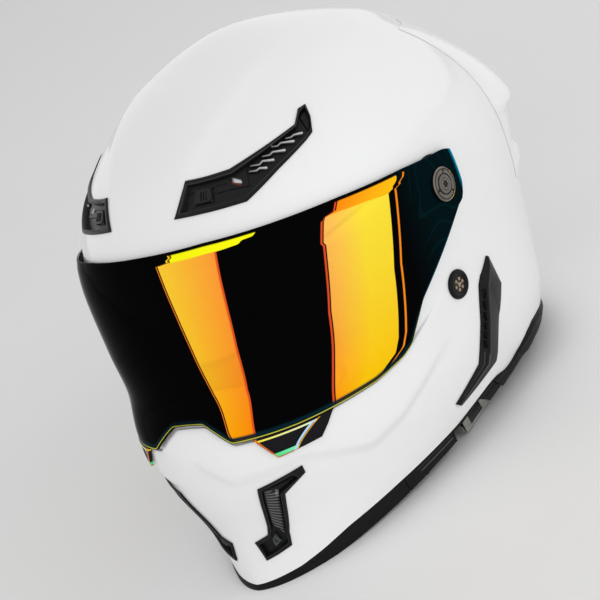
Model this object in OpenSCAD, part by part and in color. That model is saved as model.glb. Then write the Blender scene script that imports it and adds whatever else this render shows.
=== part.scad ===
// Full face motorcycle helmet with an opening visor, sliding vents, liner and chin strap.
// Lengths are millimetres. The wearer looks along -Y, the wearer's left is +X and Z is up.
// It stands on the flats of its chin trim and nape trim at Z = 0, with X = 0 in the middle.

/* [Shell] */
// Width of the shell at its widest
shell_width = 244; // [232:1:262]
// Length of the shell from the chin to the back of the head
shell_length = 343; // [325:1:365]
// Height of the shell from the table to the crown
shell_height = 269; // [255:1:290]
// Thickness of the outer shell
shell_wall = 3.6; // [3:0.1:5]
// How far the cheek stands up to meet the visor's lower edge
cheek_rise = 2.4; // [0:0.1:3.4]
// How far the middle of the crown stands above its shoulders
crown_band_rise = 1.6; // [0:0.1:3]
// Half width of the raised crown band over the brow
crown_band = 44; // [36:1:54]

/* [Visor] */
// Clear space between the visor and the smooth shell
visor_gap = 2.6; // [2.2:0.1:4]
// Thickness of the visor lens
visor_thickness = 2.2; // [1.8:0.1:3]
// Bearing of the visor's rear edge, round from the front
visor_rear = 92.5; // [91:0.5:96]
// Diameter of the metal pivot cap
pivot_diameter = 20.6; // [18:0.2:23]
// Running clearance of the lens round the pivot cap
pivot_fit = 0.06; // [0.03:0.01:0.1]
// How far the pivot cap stands out of the lens
pivot_stand = 1.2; // [0.6:0.1:2.5]
// Radius of the pivot base plate under the lens
pivot_plate_radius = 18.5; // [16:0.5:20]

/* [Vents] */
// How far the rims of the vents stand above the shell
vent_rim = 1.4; // [0.6:0.1:2]
// Depth of the vent floors below the shell's surface
vent_depth = 2.6; // [1.5:0.1:3]
// Thickness of the vent floors
vent_floor = 1; // [0.8:0.1:1.6]
// Clearance between a vent's body and the hole in the shell round it
vent_fit = 0.5; // [0.3:0.05:0.7]
// Clear space under and beside a slider
slider_fit = 0.6; // [0.4:0.05:0.8]
// Height of the ridge along the side exhaust blades
side_blade_ridge = 4; // [2:0.5:6]
// Diameter of the strap anchor cap on the shell's side
anchor_cap_diameter = 18; // [14:0.5:22]

/* [Spoiler] */
// How far the spoiler's lip stands off the shell
spoiler_lip = 15; // [8:0.5:20]
// Thickness of the spoiler at its front edge
spoiler_edge = 1.2; // [1:0.1:2]
// How far the lower step under the spoiler stands off
rear_step = 5; // [2:0.5:8]

/* [Trim] */
// How far the rubber trim stands outside the shell in front
trim_stand = 0.8; // [0.4:0.1:2]
// How far the nape trim stands outside the shell
nape_stand = 1.8; // [1:0.1:4]
// Thickness of the rubber trim behind the shell's edge
trim_thickness = 6; // [5:0.5:9]
// Depth of the groove along the trims, as a share of how far they stand out
trim_groove = 0.5; // [0:0.1:1]
// Width of the rubber seal round the eye port
gasket_width = 5; // [4:0.5:7]

/* [Liner] */
// Thickness of the crushable liner
foam_thickness = 24; // [18:1:30]
// Thickness of the comfort pad over the head
comfort_thickness = 11; // [8:1:14]
// Clear width between the two cheek pads
cheek_clear = 126; // [116:1:136]
// Clearance between the liner layers
layer_gap = 0.4; // [0.3:0.1:0.8]
// Depth of the air channels sewn into the comfort pad
channel_depth = 3; // [1:0.5:5]

/* [Strap] */
// Width of the chin strap webbing
strap_width = 24; // [20:1:27]
// Thickness of the chin strap webbing
strap_thickness = 1.8; // [1.4:0.1:2.4]
// Height of the strap's lowest run above the table
strap_height = 4; // [2.5:0.5:8]
// Thickness of the buckle's two side cheeks
buckle_cheek = 1.8; // [1.4:0.1:2.4]
// Clearance between the webbing and the buckle's cheeks
buckle_fit = 0.4; // [0.2:0.1:0.8]

/* [Hidden] */

// Profiles of the shell at its stations, from the rim up to the crown.
// Y is a share of the length and Z of the height; the side's X is a share of the width.
front_profile = [
    [-0.527, 0], [-0.503, 0.115], [-0.506, 0.242], [-0.486, 0.346], [-0.442, 0.431],
    [-0.419, 0.539], [-0.381, 0.703], [-0.328, 0.81], [-0.229, 0.911], [-0.092, 0.981],
    [0.086, 1]
];
side_profile = [
    [0.402, 0.042, 0.056], [0.426, 0.013, 0.108], [0.455, -0.002, 0.204],
    [0.467, -0.005, 0.309], [0.476, -0.002, 0.409], [0.492, 0.001, 0.509],
    [0.5, 0.013, 0.625], [0.471, 0.024, 0.736], [0.389, 0.045, 0.848],
    [0.25, 0.065, 0.944], [0, 0.086, 1]
];
rear_profile = [
    [0.26, 0], [0.307, 0.011], [0.351, 0.078], [0.389, 0.171], [0.424, 0.271],
    [0.459, 0.375], [0.473, 0.483], [0.468, 0.606], [0.418, 0.74], [0.316, 0.874],
    [0.086, 1]
];
// Fullness of the section between its profiles at each station, where 1 is an ellipse
front_fullness = [1.18, 1.07, 0.98, 0.94, 0.92, 0.91, 0.9, 0.92, 0.95, 0.97, 1];
rear_fullness = [0.92, 0.89, 0.87, 0.87, 0.87, 0.88, 0.9, 0.93, 0.97, 1, 1.03];
crown = len(front_profile) - 1;
// Shift that puts the middle of the whole helmet over the origin
front_shift = 2.4;

// Lower edge of the shell, where the rubber trim begins: bearing and station
rim_line = [
    [0, 0.1], [20, 0.15], [27, 0.22], [35, 0.34], [49, 0.41], [78, 0.43], [83, 0.75],
    [100, 1.1], [124, 1.3], [180, 1.3]
];
// Lower and upper edges of the visor, carried on round the shell behind it
visor_low = [
    [0, 3.6], [5, 3.58], [14, 3.08], [33, 3], [54, 2.95], [62, 3.04], [65, 3.15],
    [69, 3.62], [71, 3.85], [91.5, 5.05], [93, 5.6]
];
visor_high = [[0, 6.46], [20, 6.45], [48, 6.35], [58, 6.31], [78, 6.18], [91, 6.04], [93, 5.95]];
shell_low = [
    [0, 3.6], [5, 3.58], [14, 3.08], [33, 3], [54, 2.95], [62, 3.04], [65, 3.15], [75, 3.5],
    [180, 3.6]
];
// Crease below the raised cheek: over the chin, then up to the strap's anchor cap
cheek_crease = [
    [0, 2.72], [10, 2.24], [31, 2.32], [48, 1.72], [57, 1.88], [69, 2.36], [83, 2.77], [90, 3.2]
];
// Eye port behind the visor
port_side = 67;
port_low = [[0, 4], [9, 3.95], [18, 3.5], [50, 3.45], [60, 3.65], [65, 4.1], [67, 4.7]];
port_high = [[0, 5.95], [45, 5.92], [58, 5.8], [64, 5.5], [67, 4.9]];

// Visor pivot
pivot_station = 5.52;
pivot_bearing = 87;
pivot = skin(pivot_station, pivot_bearing);
pivot_floor = pivot[0] - 2.4;

// Vent outlines as pairs of station and bearing across the vent
brow_rungs = [
    [[6.98, 11.8], [7.48, 16.6]], [[6.93, 24], [7.46, 24.4]], [[6.89, 34.8], [7.45, 31.4]],
    [[7.17, 46], [7.57, 43.5]], [[7.4, 57], [7.69, 55.2]], [[7.47, 59.6], [7.89, 58.4]],
    [[7.7, 61.2], [7.91, 61.6]]
];
chin_rungs = [
    [[0.53, 8.7], [0.94, 6.1]], [[0.58, 13.5], [1.03, 11.9]], [[0.65, 18.5], [1.2, 13]],
    [[0.93, 18.9], [1.45, 14]], [[1.72, 22.9], [2.01, 16.1]], [[1.96, 30.3], [2.13, 30.2]]
];
side_rungs = [
    [[3.43, 94], [3.4, 94.7]], [[2.95, 89.3], [2.8, 95.6]], [[2.35, 85.3], [2.2, 93.2]],
    [[1.78, 81.5], [1.28, 86.7]], [[1.49, 79], [1.1, 84]], [[1.13, 68.5], [0.96, 69.3]]
];
// Places of the sliders along and across the vents
brow_slider_at = [0.45, 0.3];
chin_slider_at = [1.05, 0.34];
anchor_cap_at = [3.4, 83.2];
anchor_boss = 0.8;
// Height at which rims and caps sit over the shell, clear of its facets
vent_seat = 0.35;

// Colours
white = [0.94, 0.94, 0.93];
black = [0.1, 0.1, 0.11];
rubber = [0.14, 0.14, 0.14];
metal = [0.6, 0.58, 0.54];
mirror = [0.95, 0.55, 0.08, 0.9];
foam = [0.3, 0.3, 0.32];
cloth = [0.2, 0.2, 0.22];

// Curves and the skin of the shell

function mix(a, b, f) = a + (b - a) * f;
function ease(f) = let (g = min(1, max(0, f))) g * g * (3 - 2 * g);
function swap(v) = [-v[0], v[1], v[2]];

// Smooth curve through a rail's points; past the last point it heads for the one beyond
function curve(rail, t, beyond) = let (
    last = len(rail) - 1,
    i = min(last - 1, max(0, floor(t))),
    f = t - i,
    b = rail[i],
    c = rail[i + 1],
    a = i > 0 ? rail[i - 1] : 2 * rail[0] - rail[1],
    d = i + 2 <= last ? rail[i + 2] : beyond
) 0.5 * (2 * b + (c - a) * f + (2 * a - 5 * b + 4 * c - d) * f * f
    + (3 * b - a - 3 * c + d) * f * f * f);

// Point of the smooth skin at station t and bearing a, 0 in front and 90 at the left side
function skin(t, a) = let (
    ahead = cos(a) >= 0,
    rail = ahead
        ? curve(front_profile, t, rear_profile[crown - 1])
        : curve(rear_profile, t, front_profile[crown - 1]),
    side = curve(side_profile, t, swap(side_profile[crown - 1])),
    power = ahead
        ? curve(front_fullness, t, front_fullness[crown])
        : curve(rear_fullness, t, rear_fullness[crown]),
    along = pow(abs(cos(a)), power),
    across = pow(abs(sin(a)), power)
) [
    sign(sin(a)) * side[0] * across * shell_width,
    mix(side[1], rail[0], along) * shell_length + front_shift,
    mix(side[2], rail[1], along) * shell_height
];

function unit(v) = v / norm(v);
function outward(t, a) = let (h = 0.01, s = min(t, crown - 0.1))
    unit(cross(skin(s, a + 10 * h) - skin(s, a - 10 * h), skin(s + h, a) - skin(s - h, a)));

// The skin moved outward by a distance, smooth or with the shell's own relief
function clear(t, a, off) = skin(t, a) + off * outward(t, a);
function face(t, a, off) = clear(t, a, off + relief(t, a));

// Relief of the shell: cheeks raised from their crease up to the visor, and a crown band
function relief(t, a) = let (
    b = bearing(a),
    under = ease((lookup(b, shell_low) - t) / 0.06 - 0.3),
    above = ease((t - lookup(b, cheek_crease)) / 0.3 + 0.5),
    cheek = cheek_rise * under * above * ease((80 - b) / 14),
    half = crown_band * mix(0.72, 1.3, ease((t - 7) / 2)),
    inside = ease((half + 9 - abs(skin(t, a)[0])) / 18)
) cheek + crown_band_rise * inside * ease((t - 6.9) / 0.8);

function bearing(a) = abs(a > 180 ? a - 360 : a);

// Solids from two grids of points, rows going up and columns going round

module layer_solid(outer, inner, ring = false, dome = false) {
    rows = len(outer);
    cols = len(outer[0]);
    size = rows * cols;
    points = concat([for (row = outer) each row], [for (row = inner) each row],
        dome ? [mean(outer[rows - 1]), mean(inner[rows - 1])] : []);
    last = ring ? cols - 1 : cols - 2;
    top = rows - 1;
    edge = cols - 1;
    function o(r, c) = r * cols + c % cols;
    function i(r, c) = size + o(r, c);
    polyhedron(points, [
        for (r = [0:top - 1], c = [0:last]) each concat(
            quad(o(r, c), o(r + 1, c), o(r + 1, c + 1), o(r, c + 1)),
            quad(i(r, c), i(r, c + 1), i(r + 1, c + 1), i(r + 1, c))),
        for (c = [0:last]) each quad(o(0, c), o(0, c + 1), i(0, c + 1), i(0, c)),
        for (c = [0:last]) each dome
            ? [[o(top, c), 2 * size, o(top, c + 1)], [i(top, c + 1), 2 * size + 1, i(top, c)]]
            : quad(o(top, c + 1), o(top, c), i(top, c), i(top, c + 1)),
        for (r = [0:top - 1]) each ring ? [] : concat(
            quad(o(r + 1, 0), o(r, 0), i(r, 0), i(r + 1, 0)),
            quad(o(r, edge), o(r + 1, edge), i(r + 1, edge), i(r, edge)))
    ], convexity = 10);
}

function quad(p, q, r, s) = [[p, q, r], [p, r, s]];
function mean(row) = [for (k = [0:2]) sum([for (p = row) p[k]]) / len(row)];
function sum(list) = list * [for (v = list) 1];

// Layer of the shell between two distances from its skin
module skin_layer(rows, bearings, outer, inner, ring = false, dome = false)
    layer_solid([for (r = rows) [for (a = bearings) face(station(r, a), a, outer)]],
        [for (r = rows) [for (a = bearings) face(station(r, a), a, inner)]], ring, dome);

// A row number from 0 to 3 becomes a station: rim, cheek line, brow line, crown
function station(row, a) = let (
    b = bearing(a),
    marks = [lookup(b, rim_line), lookup(b, shell_low), lookup(b, visor_high), crown - 0.16],
    i = min(2, floor(row))
) mix(marks[i], marks[i + 1], row - i);

around = [for (a = [0:7.5:352.5]) a];

// Length of the cutters that pass right through a wall
cut_through = 20;

// Outer shell

shell_rows = [
    0, 0.2, 0.4, 0.58, 0.74, 0.88, 0.98, 1.012, 1.15, 1.4, 1.7, 2, 2.15, 2.3, 2.45, 2.58,
    2.7, 2.82, 2.92, 3
];

module outer_shell() color(white)
    difference() {
        skin_layer(shell_rows, around, 0, -shell_wall, ring = true, dome = true);
        port_cutter();
        for (side = [1, -1]) {
            vent_cutter(brow_rungs, side);
            vent_cutter(chin_rungs, side);
            at_pivot(side)
                translate([0, 0, pivot_floor])
                cylinder(r = pivot_plate_radius + 0.2, h = cut_through, $fn = 64);
        }
    }

module port_cutter() {
    half = [for (k = [0:15]) port_side * sin(6 * k)];
    bearings = [for (k = [15:-1:1]) -half[k], for (b = half) b];
    low = [for (a = bearings) lookup(abs(a), port_low)];
    high = [for (a = bearings) lookup(abs(a), port_high)];
    n = len(bearings) - 1;
    layer_solid(
        [for (f = [0, 1]) [for (k = [0:n]) clear(mix(low[k], high[k], f), bearings[k], 9)]],
        [for (f = [0, 1]) [for (k = [0:n]) clear(mix(low[k], high[k], f), bearings[k], -12)]]
    );
}

// Stands on the pivot axis, whose +Z points out of the helmet on the given side
module at_pivot(side)
    translate([0, pivot[1], pivot[2]])
    rotate([0, 90 * side, 0])
    children();

// Vents lie on ladders of rungs: u counts rungs along the vent, v goes across from 0 to 1

function on_ladder(rungs, u, v) = let (
    i = min(len(rungs) - 2, max(0, floor(u))),
    f = u - i
) mix(mix(rungs[i][0], rungs[i][1], v), mix(rungs[i + 1][0], rungs[i + 1][1], v), f);

module ladder_solid(rungs, us, vs, outer, inner, side = 1, profile = [0], lean = 0) {
    n = len(us) - 1;
    m = len(vs) - 1;
    function lift(j) = profile[min(len(profile) - 1, j)];
    function spot(i, j, off) = let (p = on_ladder(rungs, us[i] + lean * zigzag(vs[j]), vs[j]))
        face(p[0], side * p[1], off);
    order = side > 0 ? [for (j = [0:m]) j] : [for (j = [m:-1:0]) j];
    flip = side > 0 ? [for (i = [n:-1:0]) i] : [for (i = [n:-1:0]) i];
    layer_solid(
        [for (i = flip) [for (j = order) spot(i, j, outer + lift(j))]],
        [for (i = flip) [for (j = order) spot(i, j, inner)]]
    );
}

// Share by which a leaning bar runs along its vent: steep in the middle, flatter at both ends
function zigzag(v) = 0.5 - v + 0.18 * sin(360 * v);

// Hole in the shell for a vent's sunken body, hidden under the vent's rim
module vent_cutter(rungs, side)
    ladder_solid(rungs, along(rungs, 0.06 - vent_fit / 20), [0.07 - vent_fit / 14,
        0.93 + vent_fit / 14], 3, -shell_wall - 3, side);

// Places along a vent at steps of a rung, with both ends drawn in by a share of a rung
function along(rungs, inset, step = 1) = let (n = len(rungs) - 1)
    [inset, for (k = [step:step:n - step]) k, n - inset];

// Rear spoiler with its lower step, and the exhaust grille in the groove between them

spoiler_side = 124;
spoiler_top = 8.2;
// Bearings over which the spoiler sinks into the shell at each end
spoiler_fade = 9;
// Station and height above the shell, as shares of the step and of the lip
spoiler_line = [
    [4.4, 0], [4.7, rear_step], [4.8, rear_step], [5, 0.6 * rear_step], [5.3, 0.7 * spoiler_lip],
    [5.42, spoiler_lip], [5.65, 0.95 * spoiler_lip], [5.95, 0.78 * spoiler_lip],
    [6.3, 0.58 * spoiler_lip], [6.7, 0.38 * spoiler_lip], [7.12, 0.22 * spoiler_lip],
    [7.4, 0.14 * spoiler_lip], [7.7, 0.08 * spoiler_lip], [spoiler_top, 0]
];
spoiler_seat = 0.3;

function spoiler_height(t, a) = spoiler_edge
    + lookup(t, spoiler_line) * ease((180 - spoiler_side - abs(a - 180)) / spoiler_fade);

module rear_spoiler() color(white) {
    far = 360 - spoiler_side;
    bearings = [spoiler_side, for (a = around) if (a > spoiler_side && a < far) a, far];
    stations = [for (mark = spoiler_line) mark[0]];
    layer_solid(
        [for (t = stations) [for (a = bearings) face(t, a, spoiler_height(t, a))]],
        [for (t = stations) [for (a = bearings) face(t, a, spoiler_seat)]]
    );
}

module rear_exhaust() color(black)
    difference() {
        exhaust_plate([157.5, 165, 172.5, 180, 187.5, 195, 202.5], 5.03, 5.26, 1.6, 0.15);
        for (k = [-2.5:2.5])
            exhaust_plate([178.4 + 6.6 * k, 181.6 + 6.6 * k], 5.08, 5.21, 5, -2);
    }

// Plate over some bearings of the spoiler's groove, between two stations
module exhaust_plate(bearings, low, high, outer, inner)
    layer_solid(
        [for (t = [low, high]) [for (a = bearings) face(t, a, spoiler_height(t, a) + outer)]],
        [for (t = [low, high]) [for (a = bearings) face(t, a, spoiler_height(t, a) + inner)]]
    );

// Vents: a rim round a sunken floor, with slots through it and raised bars between them

module vent_frame(rungs, side, slots, across, lean) {
    n = len(rungs) - 1;
    difference() {
        union() {
            ladder_solid(rungs, along(rungs, 0, 0.5), [0, 0.09, 0.91, 1], vent_rim, vent_seat,
                side);
            ladder_solid(rungs, along(rungs, 0.06), [0.07, 0.93],
                vent_seat + 0.2, -vent_depth - vent_floor, side);
        }
        ladder_solid(rungs, [0.12, for (k = [1:n - 1]) k, n - 0.25],
            [across, 1 - across], vent_rim + 4, -vent_depth, side);
        for (s = slots)
            ladder_solid(rungs, [s[0], s[1]], [across + 0.08, 0.42, 0.58, 0.92 - across],
                0, -vent_depth - vent_floor - 2, side, lean = lean);
    }
}

module vent_bars(rungs, side, slots, across, lean)
    for (k = [0:len(slots) - 2])
        ladder_solid(rungs, [slots[k][1] + 0.06, slots[k + 1][0] - 0.06],
            [across + 0.02, 0.42, 0.58, 0.98 - across], -0.4, -vent_depth - 0.2, side,
            lean = lean);

brow_slots = [for (k = [0:4]) [2.2 + 0.56 * k, 2.42 + 0.56 * k]];
chin_slots = [for (k = [0:4]) [2.25 + 0.46 * k, 2.45 + 0.46 * k]];
// How far the slots and bars lean along their vent, in rungs
brow_lean = 0.8;
chin_lean = 0.35;

module brow_vent(side) color(black) {
    vent_frame(brow_rungs, side, brow_slots, 0.13, brow_lean);
    vent_bars(brow_rungs, side, brow_slots, 0.13, brow_lean);
}

module chin_vent(side) color(black) {
    vent_frame(chin_rungs, side, chin_slots, 0.16, chin_lean);
    vent_bars(chin_rungs, side, chin_slots, 0.16, chin_lean);
}

// Slider with three grip ribs, lying over a vent's floor
module slider(rungs, side, place, length, width) color(metal) {
    end = place[0] + length;
    us = [place[0], for (k = [1, 2]) if (k > place[0] && k < end) k, end];
    ladder_solid(rungs, us, [place[1], place[1] + width], -0.2, slider_fit - vent_depth, side);
    for (k = [0:2])
        ladder_solid(rungs, [place[0] + length * (0.2 + 0.25 * k),
            place[0] + length * (0.3 + 0.25 * k)],
            [place[1] + 0.15 * width, place[1] + 0.85 * width], vent_rim - 0.2, -0.4, side);
}

module brow_slider(side) slider(brow_rungs, side, brow_slider_at, 0.6, 0.42);
module chin_slider(side) slider(chin_rungs, side, chin_slider_at, 0.65, 0.34);

// Exhaust blade behind the cheek: a ridge along its middle and teeth along its front edge
module side_vent(side) color(black)
    difference() {
        ladder_solid(side_rungs, [for (k = [0:10]) k / 2], [0, 0.3, 0.55, 1], 0.9, 0.2, side,
            [0, 0.45 * side_blade_ridge, 0.8 * side_blade_ridge, 0]);
        for (k = [0:5])
            ladder_solid(side_rungs, [1.15 + 0.3 * k, 1.29 + 0.3 * k], [-0.2, 0.26], 8, 0.7, side);
    }

// Stands on the skin with +Z along its normal
module on_skin(t, a, side) {
    n = outward(t, a);
    translate(side > 0 ? face(t, a, 0) : swap(face(t, a, 0)))
    rotate([0, acos(n[2]), atan2(n[1], side * n[0])])
    children();
}

// Cap of the screw that holds the strap: a dished face with a rosette of six pits round a
// three sided stud
module anchor_cap(side) color(metal)
    on_skin(anchor_cap_at[0], anchor_cap_at[1], side) {
        translate([0, 0, anchor_boss])
            cylinder(d = 0.2 * anchor_cap_diameter, h = 0.8, $fn = 3);
        difference() {
            rotate_extrude($fn = 28)
                polygon([[0, 0.05], [0.5 * anchor_cap_diameter, 0.05],
                    [0.5 * anchor_cap_diameter, anchor_boss + 0.4],
                    [0.42 * anchor_cap_diameter, anchor_boss + 1.4],
                    [0.3 * anchor_cap_diameter, anchor_boss + 1],
                    [0.28 * anchor_cap_diameter, anchor_boss + 0.4], [0, anchor_boss + 0.4]]);
            for (k = [0:5])
                rotate([0, 0, 60 * k])
                translate([0.19 * anchor_cap_diameter, 0, anchor_boss])
                cylinder(d = 0.1 * anchor_cap_diameter, h = 3, $fn = 6);
        }
    }

// Rubber trims round the rim

trim_split = 50;
nape_split = 79;
seam = 0.15;

// Rows of a trim from its lower edge up, as shares, and how far each one stands out; the row
// in the middle is a fine groove
trim_rows = [[0, 1], [0.46, 1], [0.52, 1 - trim_groove], [0.58, 1], [0.88, 0.9], [1, 0.3]];

module rim_trim(from, to, stand) {
    bearings = [from, for (a = around) if (a > from + 0.5 && a < to - 0.5) a, to];
    half = [for (a = [-172.5:7.5:180]) a];
    marks = from < 0 ? [from, for (a = half) if (a > from + 0.5 && a < to - 0.5) a, to] : bearings;
    function rim(a) = lookup(bearing(a), rim_line);
    function at(row, a) = mix(-0.08, rim(a) - 0.01, row[0]);
    difference() {
        layer_solid(
            [for (row = trim_rows) [for (a = marks) face(at(row, a), a, stand * row[1])]],
            [for (row = trim_rows) [for (a = marks) face(at(row, a), a, -trim_thickness)]]
        );
        translate([-200, -250, -20])
            cube([400, 500, 20]);
    }
}

module chin_trim() color(rubber) rim_trim(-trim_split, trim_split, trim_stand);

module side_trim(side) color(rubber)
    rim_trim(side > 0 ? trim_split + seam : 360 - nape_split + seam,
        side > 0 ? nape_split - seam : 360 - trim_split - seam, trim_stand);

module nape_trim() color(rubber) rim_trim(nape_split, 360 - nape_split, nape_stand);

// Rubber seal round the eye port, between the shell and the closed visor
module eye_port_seal() color(rubber)
    layer_solid(
        [for (g = [0, 1]) [for (p = port_loop(g)) clear(p[0], p[1], visor_gap - seal_clearance)]],
        [for (g = [0, 1]) [for (p = port_loop(g)) clear(p[0], p[1], seal_seat)]],
        ring = true
    );

seal_clearance = 1.3;
seal_seat = 0.4;

// Points round the eye port, grown outward by a share of the seal's width
port_bearings = [for (k = [-15:15]) port_side * sin(6 * k)];
function port_loop(grow) = let (
    wide = 1 + grow * gasket_width / 2.1 / port_side,
    up = grow * gasket_width / 30
) [
    for (a = port_bearings) [lookup(abs(a), port_high) + up, a * wide],
    for (k = [30:-1:0]) [lookup(abs(port_bearings[k]), port_low) - up, port_bearings[k] * wide]
];

// Visor

visor_outer = visor_gap + visor_thickness;
lens_half = [5, 9, 14, 20, 27, 33, 40, 47, 54, 58, 62, 65, 67, 69, 71, 75, 80, 85, 89, 91.5];
lens_bearings = [
    -visor_rear, for (k = [len(lens_half) - 1:-1:0]) -lens_half[k], 0,
    for (b = lens_half) b, visor_rear
];
lens_rows = [0, 0.3, 0.54, 0.72, 0.87, 1];
stem_radius = 0.5 * pivot_diameter - 1.4;

module visor_lens() color(mirror)
    difference() {
        layer_solid(
            [for (f = lens_rows) [for (a = lens_bearings) lens_point(f, a, visor_outer)]],
            [for (f = lens_rows) [for (a = lens_bearings) lens_point(f, a, visor_gap)]]
        );
        for (side = [1, -1])
            at_pivot(side)
            translate([0, 0, pivot_floor])
            cylinder(r = stem_radius + pivot_fit, h = cut_through, $fn = 40);
    }

function lens_point(f, a, off) =
    clear(mix(lookup(abs(a), visor_low), lookup(abs(a), visor_high), f), a, off);

// Lift tab that hangs from the lens over the cheek, with a sunken window
tab_rungs = [[[3.045, 20], [2.965, 42]], [[2.8, 22.7], [2.73, 39.7]], [[2.54, 25.4], [2.55, 37.4]]];
tab_lift = 0.6;

module visor_tab(side) color(black) {
    inner = cheek_rise + tab_lift;
    difference() {
        tab_solid(tab_rungs, [0, 1, 2], [0, 0.33, 0.67, 1], visor_outer + 0.3, inner, side);
        tab_solid(tab_rungs, [0.35, 1, 1.8], [0.14, 0.62], visor_outer + 4, visor_outer - 0.7, side);
    }
}

module tab_solid(rungs, us, vs, outer, inner, side) {
    order = side > 0 ? vs : [for (k = [len(vs) - 1:-1:0]) vs[k]];
    flip = [for (k = [len(us) - 1:-1:0]) us[k]];
    function spot(u, v, off) = let (p = on_ladder(rungs, u, v)) clear(p[0], side * p[1], off);
    layer_solid([for (u = flip) [for (v = order) spot(u, v, outer)]],
        [for (u = flip) [for (v = order) spot(u, v, inner)]]);
}

// Pivot hardware, in the frame of the pivot axis

boss_top = pivot[0] + visor_gap - 1.6;
plate_top = pivot_floor + 2;
cap_seat = pivot[0] + visor_outer + 0.8;
cap_top = cap_seat + pivot_stand;
screw_radius = 5.5;
detents = 9;

// Base plate with a boss, two curved guide ribs and detent teeth for the visor's stops
module pivot_plate(side) color(black)
    at_pivot(side) {
        translate([0, 0, pivot_floor])
            cylinder(r = pivot_plate_radius, h = plate_top - pivot_floor, $fn = 48);
        translate([0, 0, plate_top])
            cylinder(r = stem_radius + 2, h = boss_top - plate_top, $fn = 48);
        for (start = [20, 200])
            translate([0, 0, plate_top])
            rotate([0, 0, start])
            rotate_extrude(angle = 80, $fn = 48)
                translate([pivot_plate_radius - 3.6, 0])
                square([1.6, 0.5]);
        for (k = [0:detents - 1])
            rotate([0, 0, 110 + 8 * k])
            translate([stem_radius + 1.9, -0.45, plate_top])
            cube([1.5, 0.9, 0.5]);
    }

// Metal cap whose stem is the visor's hinge pin, with three grip slots
module pivot_cap(side) color(metal)
    at_pivot(side)
    difference() {
        rotate_extrude($fn = 40)
            polygon([[0, boss_top], [stem_radius, boss_top], [stem_radius, cap_seat],
                [0.5 * pivot_diameter, cap_seat], [0.5 * pivot_diameter, cap_top - 0.5],
                [0.5 * pivot_diameter - 0.6, cap_top], [screw_radius + 0.1, cap_top],
                [screw_radius + 0.1, cap_top - 0.8], [0, cap_top - 0.8]]);
        for (k = [0:2])
            rotate([0, 0, 120 * k + 30])
            translate([0.5 * pivot_diameter - 2.6, -0.9, cap_top - 0.7])
            cube([4, 1.8, 2]);
    }

module pivot_screw(side) color(metal)
    at_pivot(side)
    translate([0, 0, cap_top - 0.8])
    difference() {
        cylinder(r = screw_radius, h = 1.3, $fn = 40);
        for (k = [0, 30])
            translate([0, 0, 0.4])
            rotate([0, 0, k])
            cylinder(r = 2.4, h = 2, $fn = 6);
    }

// Liner layers inside the shell

foam_outer = -(shell_wall + layer_gap);
// Room for the facets of the shell over the foam's own
foam_fit = 1.2;
foam_start = [
    [0, 6.25], [50, 6.2], [61, 5.9], [70, 4.6], [104, 4.5], [112, 2.4], [180, 2.2]
];
// Rows and bearings shared by the foam and the comfort pad, so that the layers nest
liner_shares = [0, 0.04, 0.1, 0.2, 0.32, 0.38, 0.44, 0.58, 0.72, 0.86, 1];
liner_taper = [0.5, 0.72, 0.92, 1, 1, 1, 1, 1, 1, 1, 1];
liner_turn = [for (sector = [0:60:300], a = [0, 4, 22, 38, 56]) sector + a];
function liner_station(k, a) = mix(lookup(bearing(a), foam_start), crown - 0.2, liner_shares[k]);
function foam_back(k) = foam_outer - foam_thickness * liner_taper[k];

module impact_liner() color(foam)
    layer_solid(
        [for (k = [0:10]) [for (a = liner_turn) clear(liner_station(k, a), a, foam_outer - foam_fit)]],
        [for (k = [0:10]) [for (a = liner_turn) clear(liner_station(k, a), a, foam_back(k))]],
        ring = true, dome = true
    );

// Thickness of the chin bar's foam from its lower to its upper edge
chin_foam = [9, 14, 14, 14, 14, 9];

module chin_liner() color(foam) {
    bearings = [for (a = [-37.5:7.5:37.5]) a];
    stations = [0.65, 1.2, 1.8, 2.4, 2.95, 3.3];
    layer_solid(
        [for (t = stations) [for (a = bearings) clear(t, a, foam_outer - foam_fit)]],
        [for (k = [0:5]) [for (a = bearings) clear(stations[k], a,
            foam_outer - chin_foam[k])]]
    );
}

// Comfort liner over the head, sewn in air channels from rim to crown and once across
module comfort_liner() {
    swell = [0.3, 0.8, 1, 1, 1, 1, 1, 1, 1, 1];
    function channel(k, a) = channel_depth * (k == 4 || a % 60 == 0 && k > 0 && k < 9 ? 1 : 0);
    color(cloth)
    layer_solid(
        [for (k = [1:10]) [for (a = liner_turn)
            clear(liner_station(k, a), a, foam_back(k) - layer_gap)]],
        [for (k = [1:10]) [for (a = liner_turn) clear(liner_station(k, a), a,
            foam_back(k) - layer_gap - comfort_thickness * swell[k - 1] + channel(k - 1, a))]],
        ring = true, dome = true
    );
}

// Cheek pad: crowned towards the face, with drawn-in edges and a sewn seam across it
module cheek_pad(side) {
    bearings = [44, 46, 51, 58, 66, 74, 82, 90, 96, 98.5];
    stations = [0.8, 0.95, 1.3, 1.8, 2.3, 2.5, 2.7, 3.2, 3.8, 4.15, 4.3];
    edge = [0.3, 0.72, 0.94, 1, 1, 0.9, 1, 1, 0.94, 0.72, 0.3];
    wing = [0.3, 0.7, 0.95, 1, 1, 1, 1, 0.95, 0.7, 0.3];
    outer_gap = foam_outer - strap_thickness - 5.2;
    cols = side > 0 ? [0:9] : [9:-1:0];
    function shell_side(i, j) = clear(stations[i], side * bearings[j],
        outer_gap - 2 * (1 - min(edge[i], wing[j])));
    function face_side(i, j) = let (p = shell_side(i, j), reach = abs(p[0]) - cheek_clear / 2)
        [side * (abs(p[0]) - max(3, reach) * edge[i] * wing[j]), p[1], p[2]];
    color(cloth)
    layer_solid(
        [for (i = [0:10]) [for (j = cols) shell_side(i, j)]],
        [for (i = [0:10]) [for (j = cols) face_side(i, j)]]
    );
}

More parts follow.
